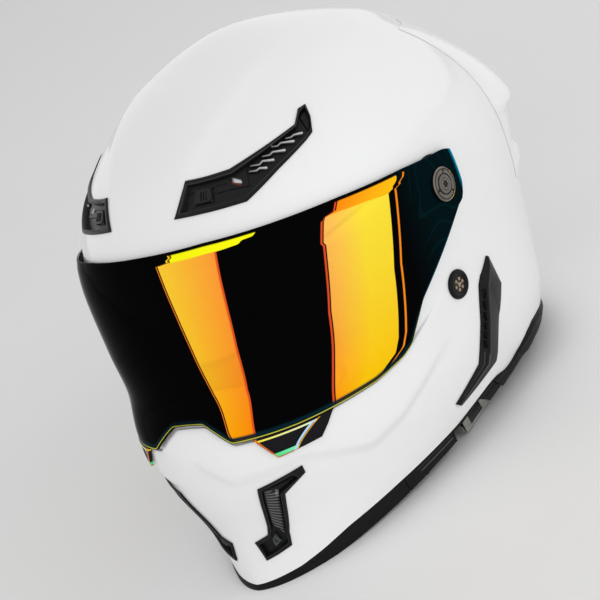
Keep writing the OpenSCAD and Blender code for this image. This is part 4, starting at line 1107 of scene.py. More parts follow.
def makeLens():
    scale = visor["perDegree"]
    rows, cols, drop = patch((visor["rows"], visor["tall"], visor["round"]),
                             (visor["columns"], 2 * visor["rear"] * scale, visor["round"]))
    a = mix(-visor["rear"], visor["rear"], cols)
    b = np.abs(a)
    low, high = softLookup(b, visorLow, 0.7), softLookup(b, visorHigh, 0.7)
    t = mix(low, high, rows)
    a = np.broadcast_to(a, t.shape)
    crease = (t - lookup(np.abs(a), creaseLine)) * visor["perStation"]
    # the strip above the crease leans in, as a chamfer
    lean = 0.14 * np.clip(crease, 0, 9) * ease((90 - np.abs(a)) / 16)
    top = visor["gap"] + visor["thick"] - drop - lean
    edge = np.minimum(rows * (high - low), (1 - rows) * (high - low)) * visor["perStation"]
    edge = np.minimum(edge, (visor["rear"] - np.abs(a)) * scale)
    # on the far side only the second painted reflection band shows, mirrored
    maps = {
        "firstReflectionBand": np.stack([(a - lookup(t, firstReflectionLeft)) * scale,
                               (a - lookup(t, firstReflectionRight)) * scale], -1),
        "secondReflectionBand": np.stack([(np.abs(a) - lookup(t, secondReflectionLeft)) * scale,
                                (np.abs(a) - lookup(t, secondReflectionRight)) * scale], -1),
        "creaseAndEdge": np.stack([crease, edge], -1),
        "rearAndHeight": np.stack([(visor["rear"] - np.abs(a)) * scale,
                                   (t - 3) * visor["perStation"]], -1),
    }
    piece = layer("visorLens", clear(t, a, top), clear(t, a, visor["gap"] + drop), uv=maps)
    size = (t.shape[0] - 1) * (t.shape[1] - 1)
    slots = np.zeros(len(piece.data.polygons), np.int32)
    slots[size:2 * size] = 1
    piece.data.materials.append(visorMirror)
    piece.data.materials.append(visorBack)
    piece.data.polygons.foreach_set("material_index", slots)
    carve(piece, [pivotCutter(side, 8.96, pivotFloor, pivotFloor + 20) for side in (1, -1)])
    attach(piece, "visor")
    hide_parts("visor_lens")


visorMirror, visorBack = makeVisorMirror(), makeVisorBack()
makeLens()
print("visor made")

# lift tabs below the lens

tabRungs = [[[3.045, 20], [2.965, 42]], [[2.8, 22.7], [2.73, 39.7]], [[2.54, 25.4], [2.55, 37.4]]]


def tabRight(u):
    # where the coloured frame ends and the plain grip begins, across the tab
    return 0.85 - 0.2 * u


def tabHeight(u, v):
    # frame round a sunken window, and a slightly lower plain grip beside it
    right = tabRight(u)
    edge = np.minimum(np.minimum(v * 26, (1 - v) * 20), np.minimum(u * 7, (2 - u) * 7))
    window = ease((v - 0.09) / 0.015) * ease((right - 0.1 - v) / 0.015)
    window = window * ease((u - 0.34) / 0.04) * ease((1.56 - u) / 0.04)
    grip = ease((v - right) / 0.02)
    return 5.1 - 0.75 * window - 0.35 * grip - 0.5 * ease(1 - edge / 0.7) ** 2


def makeTabFinish():
    # the UV map gives the place along and across the tab: coloured strips on its frame, which are painted
    # highlights and reflections
    made, tree, shader = finish("tabPlastic", ior=1.15, roughness=0.25)
    u, v = uvParts(tree, "alongAndAcross")
    right = uvParts(tree, "grip")[0]
    grain = noise(tree, place3d(tree), 900.0, 2)
    dark = blendColour(tree, grain, (0.006, 0.006, 0.008), (0.013, 0.013, 0.015))
    onFrame = sharpStep(tree, maths(tree, "MULTIPLY", right, -1), 0.012)
    across = maths(tree, "MULTIPLY", v, 1.2, clamp=True)
    # painted highlights and reflections on the frame: yellow to pale, teal to pale, a pale blue line beside
    # the grip and thin orange lines
    top = blendColour(tree, across, screen(0.98, 0.93, 0.1), screen(0.93, 0.97, 0.85))
    colour = blendColour(tree, both(tree, within(tree, u, 0.12, 0.27, 0.02), onFrame), dark, top)
    low = blendColour(tree, across, screen(0.3, 0.88, 0.55), screen(0.6, 0.98, 0.8))
    colour = blendColour(tree, both(tree, within(tree, u, 1.58, 1.88, 0.03), onFrame), colour, low)
    side = both(tree, within(tree, right, -0.085, -0.03, 0.012),
                past(tree, u, 0.12, 0.02))
    colour = blendColour(tree, side, colour, screen(0.72, 0.86, 0.97))
    line = both(tree, within(tree, right, -0.018, 0.006, 0.01),
                past(tree, u, 0.06, 0.02))
    colour = blendColour(tree, line, colour, screen(0.95, 0.66, 0.05))
    line = within(tree, v, 0.012, 0.04, 0.01)
    colour = blendColour(tree, line, colour, screen(0.93, 0.45, 0.1))
    line = both(tree, within(tree, u, 1.9, 1.97, 0.02), onFrame)
    colour = blendColour(tree, line, colour, screen(0.9, 0.5, 0.1))
    tree.links.new(colour, shader.inputs["Base Color"])
    matt = sharpStep(tree, right, 0.02)
    tree.links.new(maths(tree, "ADD", maths(tree, "MULTIPLY", matt, 0.3), maths(
        tree, "MULTIPLY", grain, 0.1)), shader.inputs["Roughness"])
    bump(tree, shader, grain, 0.00002)
    return made


def makeTabs():
    us, vs = np.linspace(0, 2, 90), np.linspace(0, 1, 130)
    for side, hand in sides:
        v, u = np.meshgrid(vs, us)
        if side < 0:
            u, v = u[:, ::-1], v[:, ::-1]
        u, v = u[::-1], v[::-1]
        p = onLadder(tabRungs, u, v)
        t, a = p[..., 0], side * p[..., 1]
        maps = {"alongAndAcross": np.stack([u, v], -1), "grip": np.stack([v - tabRight(u), v], -1)}
        piece = layer(f"visorTab{hand.capitalize()}", clear(t, a, tabHeight(u, v)),
                      clear(t, a, np.full(u.shape, 3.0)), sharp=28, uv=maps)
        place(piece, "visor", tabPlastic, "tab_plastic", f"visor_tab_{hand}")


tabPlastic = makeTabFinish()
makeTabs()

# round parts: pivot caps and their screws, strap anchor caps


def disc(name, centre, normal, radii, count, height, base, sharp=30, marks=None):
    # round part on a plane: rows go in from its edge to the middle, columns turn about the normal
    normal = unit(np.asarray(normal, float))
    across = unit(np.cross([0, 1, 0.0], normal))
    up = np.cross(normal, across)
    turn = np.linspace(0, math.tau, count, endpoint=False)
    r, w = np.meshgrid(radii, turn, indexing="ij")
    flat = centre + (r * np.cos(w))[..., None] * across + (r * np.sin(w))[..., None] * up
    top = flat + height(r, w)[..., None] * normal
    uv = {"marks": marks(r, w)} if marks else None
    return domed(name, top, flat + base * normal, None, sharp, uv)


def turnedMetal(name, dark, light, rings, rough, centreY=None, marked=False):
    # metal turned on a lathe: rings round the pivot axis, and a little tarnish; what the first part
    # of its map marks is black and dull, and its second part a painted yellow reflection
    made, tree, shader = finish(name, metallic=1.0)
    where = place3d(tree)
    cloud = noise(tree, where, 160.0, 3)
    colour = blendColour(tree, cloud, dark, light)
    if marked:
        mask, reflectedYellow = uvParts(tree, "marks")
        colour = blendColour(tree, reflectedYellow, colour, screen(1, 0.8, 0.05))
        colour = blendColour(tree, mask, colour, (0.006, 0.006, 0.007))
        tree.links.new(maths(tree, "SUBTRACT", 1.0, mask, clamp=True), shader.inputs["Metallic"])
    tree.links.new(colour, shader.inputs["Base Color"])
    fine = noise(tree, where, 5200.0, 1)
    if centreY is None:
        pattern = fine
    else:
        parts = node(tree, "SeparateXYZ", {"Vector": where})
        y = maths(tree, "SUBTRACT", parts.outputs[1], centreY[0] * 0.001)
        z = maths(tree, "SUBTRACT", parts.outputs[2], centreY[1] * 0.001)
        radius = maths(tree, "SQRT", maths(tree, "ADD", maths(tree, "MULTIPLY", y, y),
                                           maths(tree, "MULTIPLY", z, z)))
        wave = maths(tree, "SINE", maths(tree, "MULTIPLY", radius, rings))
        pattern = maths(tree, "ADD", maths(tree, "MULTIPLY", wave, 0.5), maths(tree, "MULTIPLY", fine, 0.6))
    low, high = rough
    tree.links.new(maths(tree, "ADD", maths(tree, "MULTIPLY", cloud, high - low), low),
                   shader.inputs["Roughness"])
    bump(tree, shader, pattern, 0.00001, 0.6)
    return made


pivotMetal = turnedMetal("pivotMetal", (0.1, 0.091, 0.078), (0.27, 0.245, 0.21), 16000, (0.14, 0.3),
                         (pivot[1], pivot[2]), True)
bronze = turnedMetal("rosetteBronze", (0.3, 0.22, 0.14), (0.6, 0.47, 0.33), 0, (0.25, 0.4), None, True)
steel = turnedMetal("buckleSteel", (0.3, 0.29, 0.27), (0.5, 0.48, 0.44), 0, (0.3, 0.45))
brightSteel = turnedMetal("brightSteel", (0.3, 0.29, 0.265), (0.52, 0.5, 0.46), 0, (0.35, 0.5))
cap = {"radius": 10.3, "seat": 127.215, "top": 128.415, "screw": 5.5, "hole": 5.55, "turn": 30}
washer = {"radius": 9, "lip": 7.2, "dish": 4.5, "station": 3.4, "bearing": 83.2}


def capSlots(r, w):
    # 1 in the three slots, in the groove inside the rim and in the gap round the screw
    sector = (np.degrees(w) - cap["turn"] + 60) % 120 - 60
    slot = ease((0.7 - np.abs(np.radians(sector) * r)) / 0.2) * ease((r - 6.2) / 0.2) * ease((9 - r) / 0.2)
    groove = ease((0.3 - np.abs(r - 8.9)) / 0.12)
    gap = ease((0.45 - np.abs(r - 6.1)) / 0.15)
    return np.maximum(np.maximum(slot, groove), np.maximum(gap, r < cap["hole"]))


def capShadeAndReflection(side):
    # painted shade: black in the slots, the grooves and the gap round the screw; painted reflection: two
    # yellow arcs on the rim, the lens's yellow edge reflected behind and below
    def marks(r, w):
        turn = side * (np.degrees(w) - 90)
        turn = (turn + 180) % 360 - 180
        reflectedArcs = np.maximum(ease((19 - np.abs(turn - 1)) / 2), ease((33 - np.abs(turn + 61)) / 2))
        return np.stack([capSlots(r, w), reflectedArcs * ease((r - 9.45) / 0.12)], -1)
    return marks


def capHeight(r, w):
    # flat ring with three slots, a groove inside its bevelled rim, above the cap's seat
    high = 1.2 - 0.55 * ease((r - 9.5) / 0.8) - 0.7 * capSlots(r, w)
    high = high + 0.12 * ease((0.5 - np.abs(r - 7.6)) / 0.3)
    # lower under the screw
    return np.where(r < cap["hole"], 0.4, high)


def socket(r, w):
    # 1 inside the screw's six lobed socket, but for the stud in its middle
    lobes = 2.0 + 0.5 * np.cos(6 * w)
    return ease((lobes - r) / 0.2) * ease((r - 0.45) / 0.15)


def screwHeight(r, w):
    # domed head with a socket and a turned ring
    return 1.3 - 0.25 * (r / 5.5) ** 4 - 0.85 * socket(r, w) - 0.2 * ease((0.25 - np.abs(r - 3.7)) / 0.12)


def screwShade(r, w):
    # painted shade: black in the socket and in the turned ring's groove
    return np.stack([np.maximum(socket(r, w), 0.85 * ease((0.25 - np.abs(r - 3.7)) / 0.12)), 0 * r], -1)


def makeRounds():
    fine = np.linspace(0, 1, 60)
    for side, hand in sides:
        title = hand.capitalize()
        out = np.array([side, 0, 0.0])
        at = np.array([side * cap["seat"], pivot[1], pivot[2]])
        radii = np.concatenate([np.linspace(cap["radius"], 5.6, 64), [5.4, 3, 0.6]])
        piece = disc(f"pivotCap{title}", at, out, radii, 216, capHeight, -0.35, marks=capShadeAndReflection(side))
        place(piece, "helmet", pivotMetal, "pivot_metal", f"pivot_cap_{hand}")
        at = np.array([side * (cap["top"] - 0.8), pivot[1], pivot[2]])
        piece = disc(f"pivotScrew{title}", at, out, mix(cap["screw"], 0.25, fine), 150, screwHeight, 0.0,
                     marks=screwShade)
        place(piece, "helmet", pivotMetal, "pivot_metal", f"pivot_screw_{hand}")
        # anchor cap: black washer with a rounded lip, and a bronze rosette in its dish
        t, a = np.array(washer["station"]), np.array(side * washer["bearing"])
        at, out = face(t, a, 0.0), outward(t, a)
        corner = 0.7 * (1 - np.cos(np.linspace(0, math.pi / 2, 6)))
        radii = np.concatenate([washer["radius"] - corner, np.linspace(8.2, 4.7, 26),
                                [washer["dish"], 2.5, 0.5]])
        piece = disc(f"anchorWasher{title}", at, out, radii, 128, washerHeight, 0.1)
        place(piece, "helmet", blackPlastic, "vent_plastic", f"anchor_cap_{hand}")
        piece = disc(f"anchorRosette{title}", at, out, mix(washer["dish"], 0.15, fine), 180, rosetteHeight,
                     0.9, marks=rosetteMarks)
        place(piece, "helmet", bronze, "rosette_bronze")


def washerHeight(r, w):
    lip = np.sqrt(np.clip(1 - ((r - washer["lip"]) / 1.8) ** 2, 0, 1))
    return np.where(r > washer["lip"], 0.35 + 1.85 * lip, 2.2 - 1.1 * ease((washer["lip"] - r) / 2.4))


def rosetteLeaves(r, w):
    # 1 on a triangle in the middle and on six leaves round it, 0 in the gaps
    third = np.abs((w + math.pi / 6) % (math.tau / 3) - math.tau / 6)
    triangle = ease((1.35 - r * np.cos(third)) / 0.2) * ease((2 - r) / 0.2)
    sixth = (w % (math.tau / 6)) - math.tau / 12
    leaf = ease((0.95 - np.abs(sixth) * r) / 0.16) * ease((r - 2.35) / 0.2) * ease((4.4 - r) / 0.2)
    return np.maximum(triangle, leaf)


def rosetteMarks(r, w):
    return np.stack([1 - rosetteLeaves(r, w), 0 * r], -1)


def rosetteHeight(r, w):
    sixth = (w % (math.tau / 6)) - math.tau / 12
    rib = ease((0.14 - np.abs(sixth) * r) / 0.08) * (r > 2)
    return 1.12 + rosetteLeaves(r, w) * (0.5 - 0.15 * rib)


makeRounds()
print("tabs, pivots and caps made")

# inner parts: foam liners, the cloth liner with its sewn channels, pads and breath guard
liner = {"fit": 5.2, "back": 4.0, "foam": 24, "cloth": 11, "layer": 0.4, "channel": 3.0,
         "width": 2.4, "rows": 78, "columns": 240, "chinEnd": 37.5}
foamStart = [(0, 6.25), (50, 6.2), (61, 5.9), (70, 4.6), (104, 4.5), (112, 2.4), (180, 2.2)]
foamTaper = [(0, 0.5), (0.04, 0.72), (0.1, 0.92), (0.2, 1), (1, 1)]
chinFoam = [(0.65, 9), (1.2, 14), (2.95, 14), (3.3, 9)]
pads = {"voxel": 4.0, "pressure": 4.0, "frames": 20, "swell": 3.5, "press": 0.4,
        "cheekFace": 65.5, "cheekGap": 11.4, "rollGap": 7.0, "rollThick": 12.5}


def makeBeadFoam():
    # foam of pressed beads: rounded cells with dark seams between them
    made, tree, shader = finish("linerFoam", roughness=0.8, specular=0.25)
    where = place3d(tree)
    cells = node(tree, "TexVoronoi", {"Vector": where, "Scale": 330.0}, feature="F1")
    cloud = noise(tree, where, 22.0, 3)
    tone = maths(tree, "ADD", maths(tree, "MULTIPLY", cells.outputs["Distance"], 0.7), maths(
        tree, "MULTIPLY", cloud, 0.35), clamp=True)
    tree.links.new(blendColour(tree, tone, (0.05, 0.05, 0.052), (0.016, 0.016, 0.017)),
                   shader.inputs["Base Color"])
    dome = maths(tree, "SUBTRACT", 1.0, maths(tree, "POWER", cells.outputs["Distance"], 2.0))
    bump(tree, shader, dome, 0.0004, 0.8)
    return made


def makeKnit():
    # knitted cells that look the same on any side: sum of three products of sine and cosine
    made, start, end = group("knittedCells", [
        ("Place", "Vector", None), ("Cells", "Float", 4000.0), ("Fuzz", "Float", 0.35)],
        [("Height", "Float"), ("Tone", "Float")])
    parts = node(made, "SeparateXYZ", {"Vector": start.outputs["Place"]})
    turns = [maths(made, "MULTIPLY", parts.outputs[k], start.outputs["Cells"]) for k in range(3)]
    total = 0.0
    for k in range(3):
        total = maths(made, "ADD", total, maths(made, "MULTIPLY", maths(made, "SINE", turns[k]),
                                                maths(made, "COSINE", turns[(k + 1) % 3])))
    fuzz = noise(made, start.outputs["Place"], 2600.0, 3, 0.7)
    made.links.new(maths(made, "ADD", maths(made, "MULTIPLY", total, 0.33), maths(
        made, "MULTIPLY", fuzz, start.outputs["Fuzz"])), end.inputs["Height"])
    made.links.new(maths(made, "ADD", maths(made, "MULTIPLY", total, 0.2), maths(
        made, "MULTIPLY", fuzz, 0.8), clamp=True), end.inputs["Tone"])
    return made


def makePadCloth(name, dark, light, thread, cells, depth):
    # knitted cloth with two rows of stitches beside each seam
    made, tree, shader = finish(name, roughness=0.85, sheen=0.35, sheenRoughness=0.5, specular=0.2)
    where = place3d(tree)
    knit = node(tree, "Group")
    knit.node_tree = knitGroup
    tree.links.new(where, knit.inputs["Place"])
    knit.inputs["Cells"].default_value = cells
    worn = noise(tree, where, 16.0, 3, 0.6)
    colour = blendColour(tree, maths(tree, "ADD", maths(tree, "MULTIPLY", knit.outputs["Tone"], 0.7), maths(
        tree, "MULTIPLY", worn, 0.3), clamp=True), dark, light)
    seam = node(tree, "Attribute", attribute_name="seamDistance").outputs["Fac"]
    run = node(tree, "Attribute", attribute_name="seamRun").outputs["Fac"]
    stitch = sharpStep(tree, maths(tree, "SINE", maths(tree, "MULTIPLY", run, math.tau / 3.4)), 0.6)
    stitch = both(tree, stitch, within(tree, seam, 1.7, 2.3, 0.2))
    tree.links.new(blendColour(tree, maths(tree, "MULTIPLY", stitch, 0.8), colour, thread),
                   shader.inputs["Base Color"])
    bump(tree, shader, maths(tree, "ADD", knit.outputs["Height"], stitch), depth, 0.9)
    return made


def makeWebbing():
    # woven strap: threads follow its UV map, in millimetres along and across it
    made, tree, shader = finish("strapWebbing", roughness=0.7, sheen=0.2, sheenRoughness=0.4, specular=0.3)
    place = node(tree, "UVMap", uv_map="weave").outputs[0]
    weave = node(tree, "Group")
    weave.node_tree = weaveGroup
    tree.links.new(place, weave.inputs["Place"])
    weave.inputs["Threads"].default_value = 0.62
    across = uvParts(tree, "weave")[1]
    edge = sharpStep(tree, maths(tree, "SUBTRACT", maths(tree, "ABSOLUTE", across), 10.3), 0.5)
    colour = blendColour(tree, weave.outputs["Tone"], (0.008, 0.008, 0.009), (0.03, 0.03, 0.032))
    tree.links.new(blendColour(tree, maths(tree, "MULTIPLY", edge, 0.5), colour, (0.05, 0.05, 0.052)),
                   shader.inputs["Base Color"])
    bump(tree, shader, weave.outputs["Height"], 0.00022)
    return made


def foamStation(share, a):
    return mix(softLookup(bearing(a), foamStart, 2.5), crown - 0.2, share)


def foamBack(share):
    return -liner["back"] - liner["foam"] * lookup(share, foamTaper)


def makeFoam():
    # shell of foam over the head, its lower edge rounded, and a second one in the chin bar
    a = np.linspace(0, 360, liner["columns"], endpoint=False)[None]
    share = np.concatenate([np.linspace(0, 0.02, 7), np.linspace(0.02, 1, liner["rows"])[1:]])[:, None]
    t = foamStation(share, a)
    roundOff = 2.5 * (1 - np.sqrt(1 - np.clip(1 - share / 0.02, 0, 1) ** 2))
    piece = domed("impactLiner", clear(t, a, -liner["fit"] - roundOff + 0 * a),
                  clear(t, a, foamBack(share) + roundOff + 0 * a))
    place(piece, "helmet", linerFoam, "liner_foam", "impact_liner")
    rows, cols, drop = patch((40, 80, 2.0), (110, 150, 2.0))
    t, a = mix(chinFoam[0][0], chinFoam[-1][0], rows), mix(-liner["chinEnd"], liner["chinEnd"], cols)
    piece = layer("chinLiner", clear(t, a, -liner["fit"] - drop),
                  clear(t, a, drop - liner["back"] - lookup(t, chinFoam)))
    place(piece, "helmet", linerFoam, "liner_foam", "chin_liner")


def vectors(mesh, kind):
    # the places or the normals of a mesh's points
    flat = np.empty(len(mesh.vertices) * 3)
    mesh.vertices.foreach_get(kind, flat)
    return flat.reshape(-1, 3)


def sewn(piece, lines, depth, width):
    # presses grooves along sewn lines: depth times exp(-(distance / width)^2) along the normals;
    # keeps the distance and the run along the line for the stitches' colour
    mesh = piece.data
    count = len(mesh.vertices)
    points, normal = vectors(mesh, "co") * 1000, vectors(mesh, "normal")
    nearest, run = np.full(count, 99.0), np.zeros(count)
    for line in lines:
        seat = np.linalg.norm(line[:, None] - points[None], axis=-1).argmin(1)
        line = line + normal[seat] * ((points[seat] - line) * normal[seat]).sum(-1, keepdims=True)
        way = np.diff(line, axis=0)
        length = np.linalg.norm(way, axis=1)
        begun = np.concatenate([[0], np.cumsum(length)[:-1]])
        share = np.clip(((points[:, None] - line[:-1]) * way).sum(-1) / length ** 2, 0, 1)
        away = np.linalg.norm(points[:, None] - line[:-1] - share[..., None] * way, axis=-1)
        k = away.argmin(1)
        best = away[np.arange(count), k]
        closer = best < nearest
        nearest = np.where(closer, best, nearest)
        run = np.where(closer, begun[k] + share[np.arange(count), k] * length[k], run)
    points = points - normal * (depth * np.exp(-(nearest / width) ** 2))[:, None]
    mesh.vertices.foreach_set("co", (points * 0.001).ravel())
    for title, values in (("seamDistance", nearest), ("seamRun", run)):
        mesh.attributes.new(title, "FLOAT", "POINT").data.foreach_set("value", values.astype(np.float32))
    mesh.update()
    return piece


def makeComfortLiner():
    # cloth liner: swollen panels between six lines from rim to crown and one line across
    a = np.linspace(0, 360, liner["columns"], endpoint=False)[None]
    share = np.concatenate([0.04 + 0.03 * (1 - np.cos(np.linspace(0, math.pi / 2, 9))),
                            np.linspace(0.07, 1, liner["rows"])[1:]])[:, None]
    t = foamStation(share, a)
    outer = clear(t, a, foamBack(share) - liner["layer"] + 0 * a)
    radius = np.linalg.norm(outer[..., :2], axis=-1)
    spoke = np.abs((a / 60 + 0.5) % 1 - 0.5) * 60 * math.pi / 180 * radius
    spoke = spoke + 300 * np.maximum(0, 0.1 - share) + 300 * np.maximum(0, share - 0.86)
    away = np.minimum(spoke, np.abs(share - 0.38) * 190)
    edge = np.sqrt(1 - np.clip(1 - (share - 0.04) / 0.06, 0, 1) ** 2)
    thick = liner["cloth"] * (0.25 + 0.75 * edge) + 0.9 * ease(away / 20)
    thick = thick - liner["channel"] * np.exp(-(away / liner["width"]) ** 2)
    piece = domed("comfortLiner", outer, clear(t, a, foamBack(share) - liner["layer"] - thick))
    lines, run = [], np.linspace(0.1, 0.86, 60)
    for spokeAt in range(0, 360, 60):
        t = foamStation(run, spokeAt + 0 * run)
        lines.append(clear(t, spokeAt + 0 * run, foamBack(run) - liner["cloth"]))
    turn = np.linspace(0, 360, 181)
    lines.append(clear(foamStation(0.38, turn), turn, foamBack(0.38) - liner["cloth"] + 0 * turn))
    sewn(piece, lines, 0.0, 1.0)
    place(piece, "helmet", linerMesh, "pad_cloth", "comfort_liner")
    # piping along its lower edge
    turn = np.linspace(0, 360, 241)[:-1]
    path = clear(foamStation(0.045, turn), turn, foamBack(0.045) - liner["layer"] - 2.2 + 0 * turn)
    piece = swept("linerPiping", path, [0, 0, 1], circle(1.5, 14), True)
    place(sewn(piece, [path + [0, 0, 9]], 0.0, 1.0), "helmet", padCloth, "pad_cloth")


def cushion(name, outerAt, faceAt, side=1, corner=5, rows=30, columns=132):
    # closed pad between two surfaces: shares s and q go out from its middle by a rounded square;
    # the thickness falls as the square root of one less the radius's fourth power
    reach = np.cos(np.linspace(0.03, math.pi / 2 - 0.03, rows))
    r, w = np.meshgrid(reach, np.linspace(0, math.tau, columns, endpoint=False), indexing="ij")
    s, q = onCushion(r, w, side, corner)
    full = np.sqrt(1 - r ** 4)[..., None]
    outer, inner = outerAt(s, q), faceAt(s, q)
    middle = mix(outer, inner, 0.4)
    return domed(name, mix(middle, outer, full), mix(middle, inner, full))


def onCushion(r, w, side, corner=5):
    size = (np.abs(np.cos(w)) ** corner + np.abs(np.sin(w)) ** corner) ** (-1 / corner)
    return 0.5 + 0.5 * r * size * np.sin(w), 0.5 + 0.5 * r * size * np.cos(w) * side


def remade(piece, kind, **settings):
    # the piece's mesh after one modifier
    change = piece.modifiers.new("change", kind)
    for key, value in settings.items():
        setattr(change, key, value)
    applied(piece)


def inflate(piece):
    # even mesh, then cloth with air pressed into it; no point moves further than the swell, and
    # hardly at all towards the shell; last a subdivision
    remade(piece, "REMESH", mode="VOXEL", voxel_size=pads["voxel"] * 0.001)
    before = vectors(piece.data, "co")
    cloth = piece.modifiers.new("air", "CLOTH")
    values = cloth.settings
    values.use_pressure, values.uniform_pressure_force = True, pads["pressure"]
    values.effector_weights.gravity = 0
    values.quality, values.mass = 6, 0.2
    values.tension_stiffness = values.compression_stiffness = values.shear_stiffness = 12
    values.bending_stiffness = 0.6
    cloth.point_cache.frame_start, cloth.point_cache.frame_end = 1, pads["frames"]
    for k in range(1, pads["frames"] + 1):
        scene.frame_set(k)
    blown = piece.evaluated_get(bpy.context.evaluated_depsgraph_get())
    after = vectors(blown.data, "co")
    piece.modifiers.clear()
    scene.frame_set(1)
    move = after - before
    far = np.linalg.norm(move, axis=1, keepdims=True)
    move = move * np.minimum(1, pads["swell"] * 0.001 / np.maximum(far, 1e-9))
    away = unit(before * [1, 1, 0] + [0, 0.02, 0])
    outwards = (move * away).sum(1, keepdims=True)
    move = move - away * np.maximum(0, outwards - pads["press"] * 0.001)
    piece.data.vertices.foreach_set("co", (before + move).ravel())
    piece.data.update()
    remade(piece, "SUBSURF", levels=2, render_levels=2)
    piece.data.shade_smooth()
    return piece


def makePads():
    loop = np.linspace(0, math.tau, 161)
    for side, hand in sides:
        def outerAt(s, q):
            return clear(mix(0.8, 4.3, s), side * mix(44, 98.5, q), -pads["cheekGap"] + 0 * s)

        def faceAt(s, q):
            p = outerAt(s, q)
            p[..., 0] = side * np.minimum(np.abs(p[..., 0]) - 3, pads["cheekFace"])
            return p

        piece = inflate(cushion(f"cheekPad{hand.capitalize()}", outerAt, faceAt, side))
        across = np.linspace(-0.8, 0.8, 40)
        rise = np.linspace(-0.8, -0.05, 30)
        lines = [faceAt(*onCushion(0.82 + 0 * loop, loop, side)),
                 faceAt(0.49 + 0.03 * np.cos(across * 3), 0.5 + 0.5 * across),
                 faceAt(0.5 + 0.5 * rise, 0.46 + 0.06 * rise)]
        sewn(piece, lines, 1.9, 1.9)
        place(piece, "helmet", padCloth, "pad_cloth", f"cheek_pad_{hand}")

    def rollOuter(s, q):
        return clear(mix(0.14, 1.8, s), mix(112, 248, q), -pads["rollGap"] + 0 * s)

    def rollFace(s, q):
        return clear(mix(0.14, 1.8, s), mix(112, 248, q), -pads["rollGap"] - pads["rollThick"] + 0 * s)

    piece = inflate(cushion("neckRoll", rollOuter, rollFace, corner=9, columns=220))
    lines = [rollFace(*onCushion(0.86 + 0 * loop, loop, 1, 9))]
    lines += [rollFace(np.linspace(0.12, 0.88, 30), np.full(30, q)) for q in (0.2, 0.4, 0.6, 0.8)]
    sewn(piece, lines, 1.8, 1.9)
    place(piece, "helmet", padCloth, "pad_cloth", "neck_roll")


guardRise = [(0, 3.36), (1, 3.5), (2, 3.75), (3, 4), (4, 4.2)]
guardSpread = [(0, 24), (1, 23), (2, 20), (3, 16), (4, 11)]


def makeBreathGuard():
    # thin rubber sheet that leans back as it rises, with low ribs and a notch for the nose
    rows, cols, drop = patch((40, 26, 0.6), (120, 90, 0.6))
    k, share = 4 * rows, mix(-1, 1, cols)
    t = lookup(k, guardRise) - 0.12 * ease(k - 3) * ease((0.42 - np.abs(share)) / 0.24)
    a = lookup(k, guardSpread) * share
    ribs = 0.35 * ease((0.25 - np.abs((np.abs(share) * 4.5) % 1 - 0.5)) / 0.15)
    ribs = ribs * ease(k / 0.5) * ease((3.4 - k) / 0.4)
    # its front face stands behind the skin, further with each step up
    front = -10 - 1.5 * k
    piece = layer("breathGuard", clear(t, a, front - drop + ribs), clear(t, a, front - 1.8 + drop))
    place(piece, "helmet", trimRubber, "trim_rubber", "breath_guard")


knitGroup = makeKnit()
linerFoam, strapWebbing = makeBeadFoam(), makeWebbing()
padCloth = makePadCloth("padCloth", (0.012, 0.012, 0.013), (0.04, 0.04, 0.043), (0.3, 0.3, 0.31),
                       3600, 0.00025)
linerMesh = makePadCloth("linerMesh", (0.02, 0.02, 0.022), (0.07, 0.07, 0.074), (0.35, 0.35, 0.36),
                         2400, 0.0004)
makeFoam()
makeComfortLiner()
makePads()
makeBreathGuard()
print("liners and pads made")

# chin strap: webbing on each side, and the ratchet buckle that joins it
strap = {"middle": -29.97, "width": 24, "thick": 1.8, "level": 4.9, "bearing": 79.0, "end": 40.17,
         "step": 0.5}
strapWall = [(3.6, -8.1), (2.8, -8.1), (2, -8.1), (1.3, -8.2), (0.85, -8.8)]
strapRim = clear(0.3, strap["bearing"], -12.9)[[0, 2]]


def rounder(path, window):
    # the path at short even steps, averaged over a window so that its bends are round
    run = np.concatenate([[0], np.cumsum(np.linalg.norm(np.diff(path, axis=0), axis=1))])
    s = np.arange(0, run[-1], strap["step"])
    return np.mean([np.stack([np.interp(np.clip(s + d, 0, run[-1]), run, path[:, k]) for k in (0, 1)], -1)
                    for d in np.linspace(-window, window, 15)], 0)


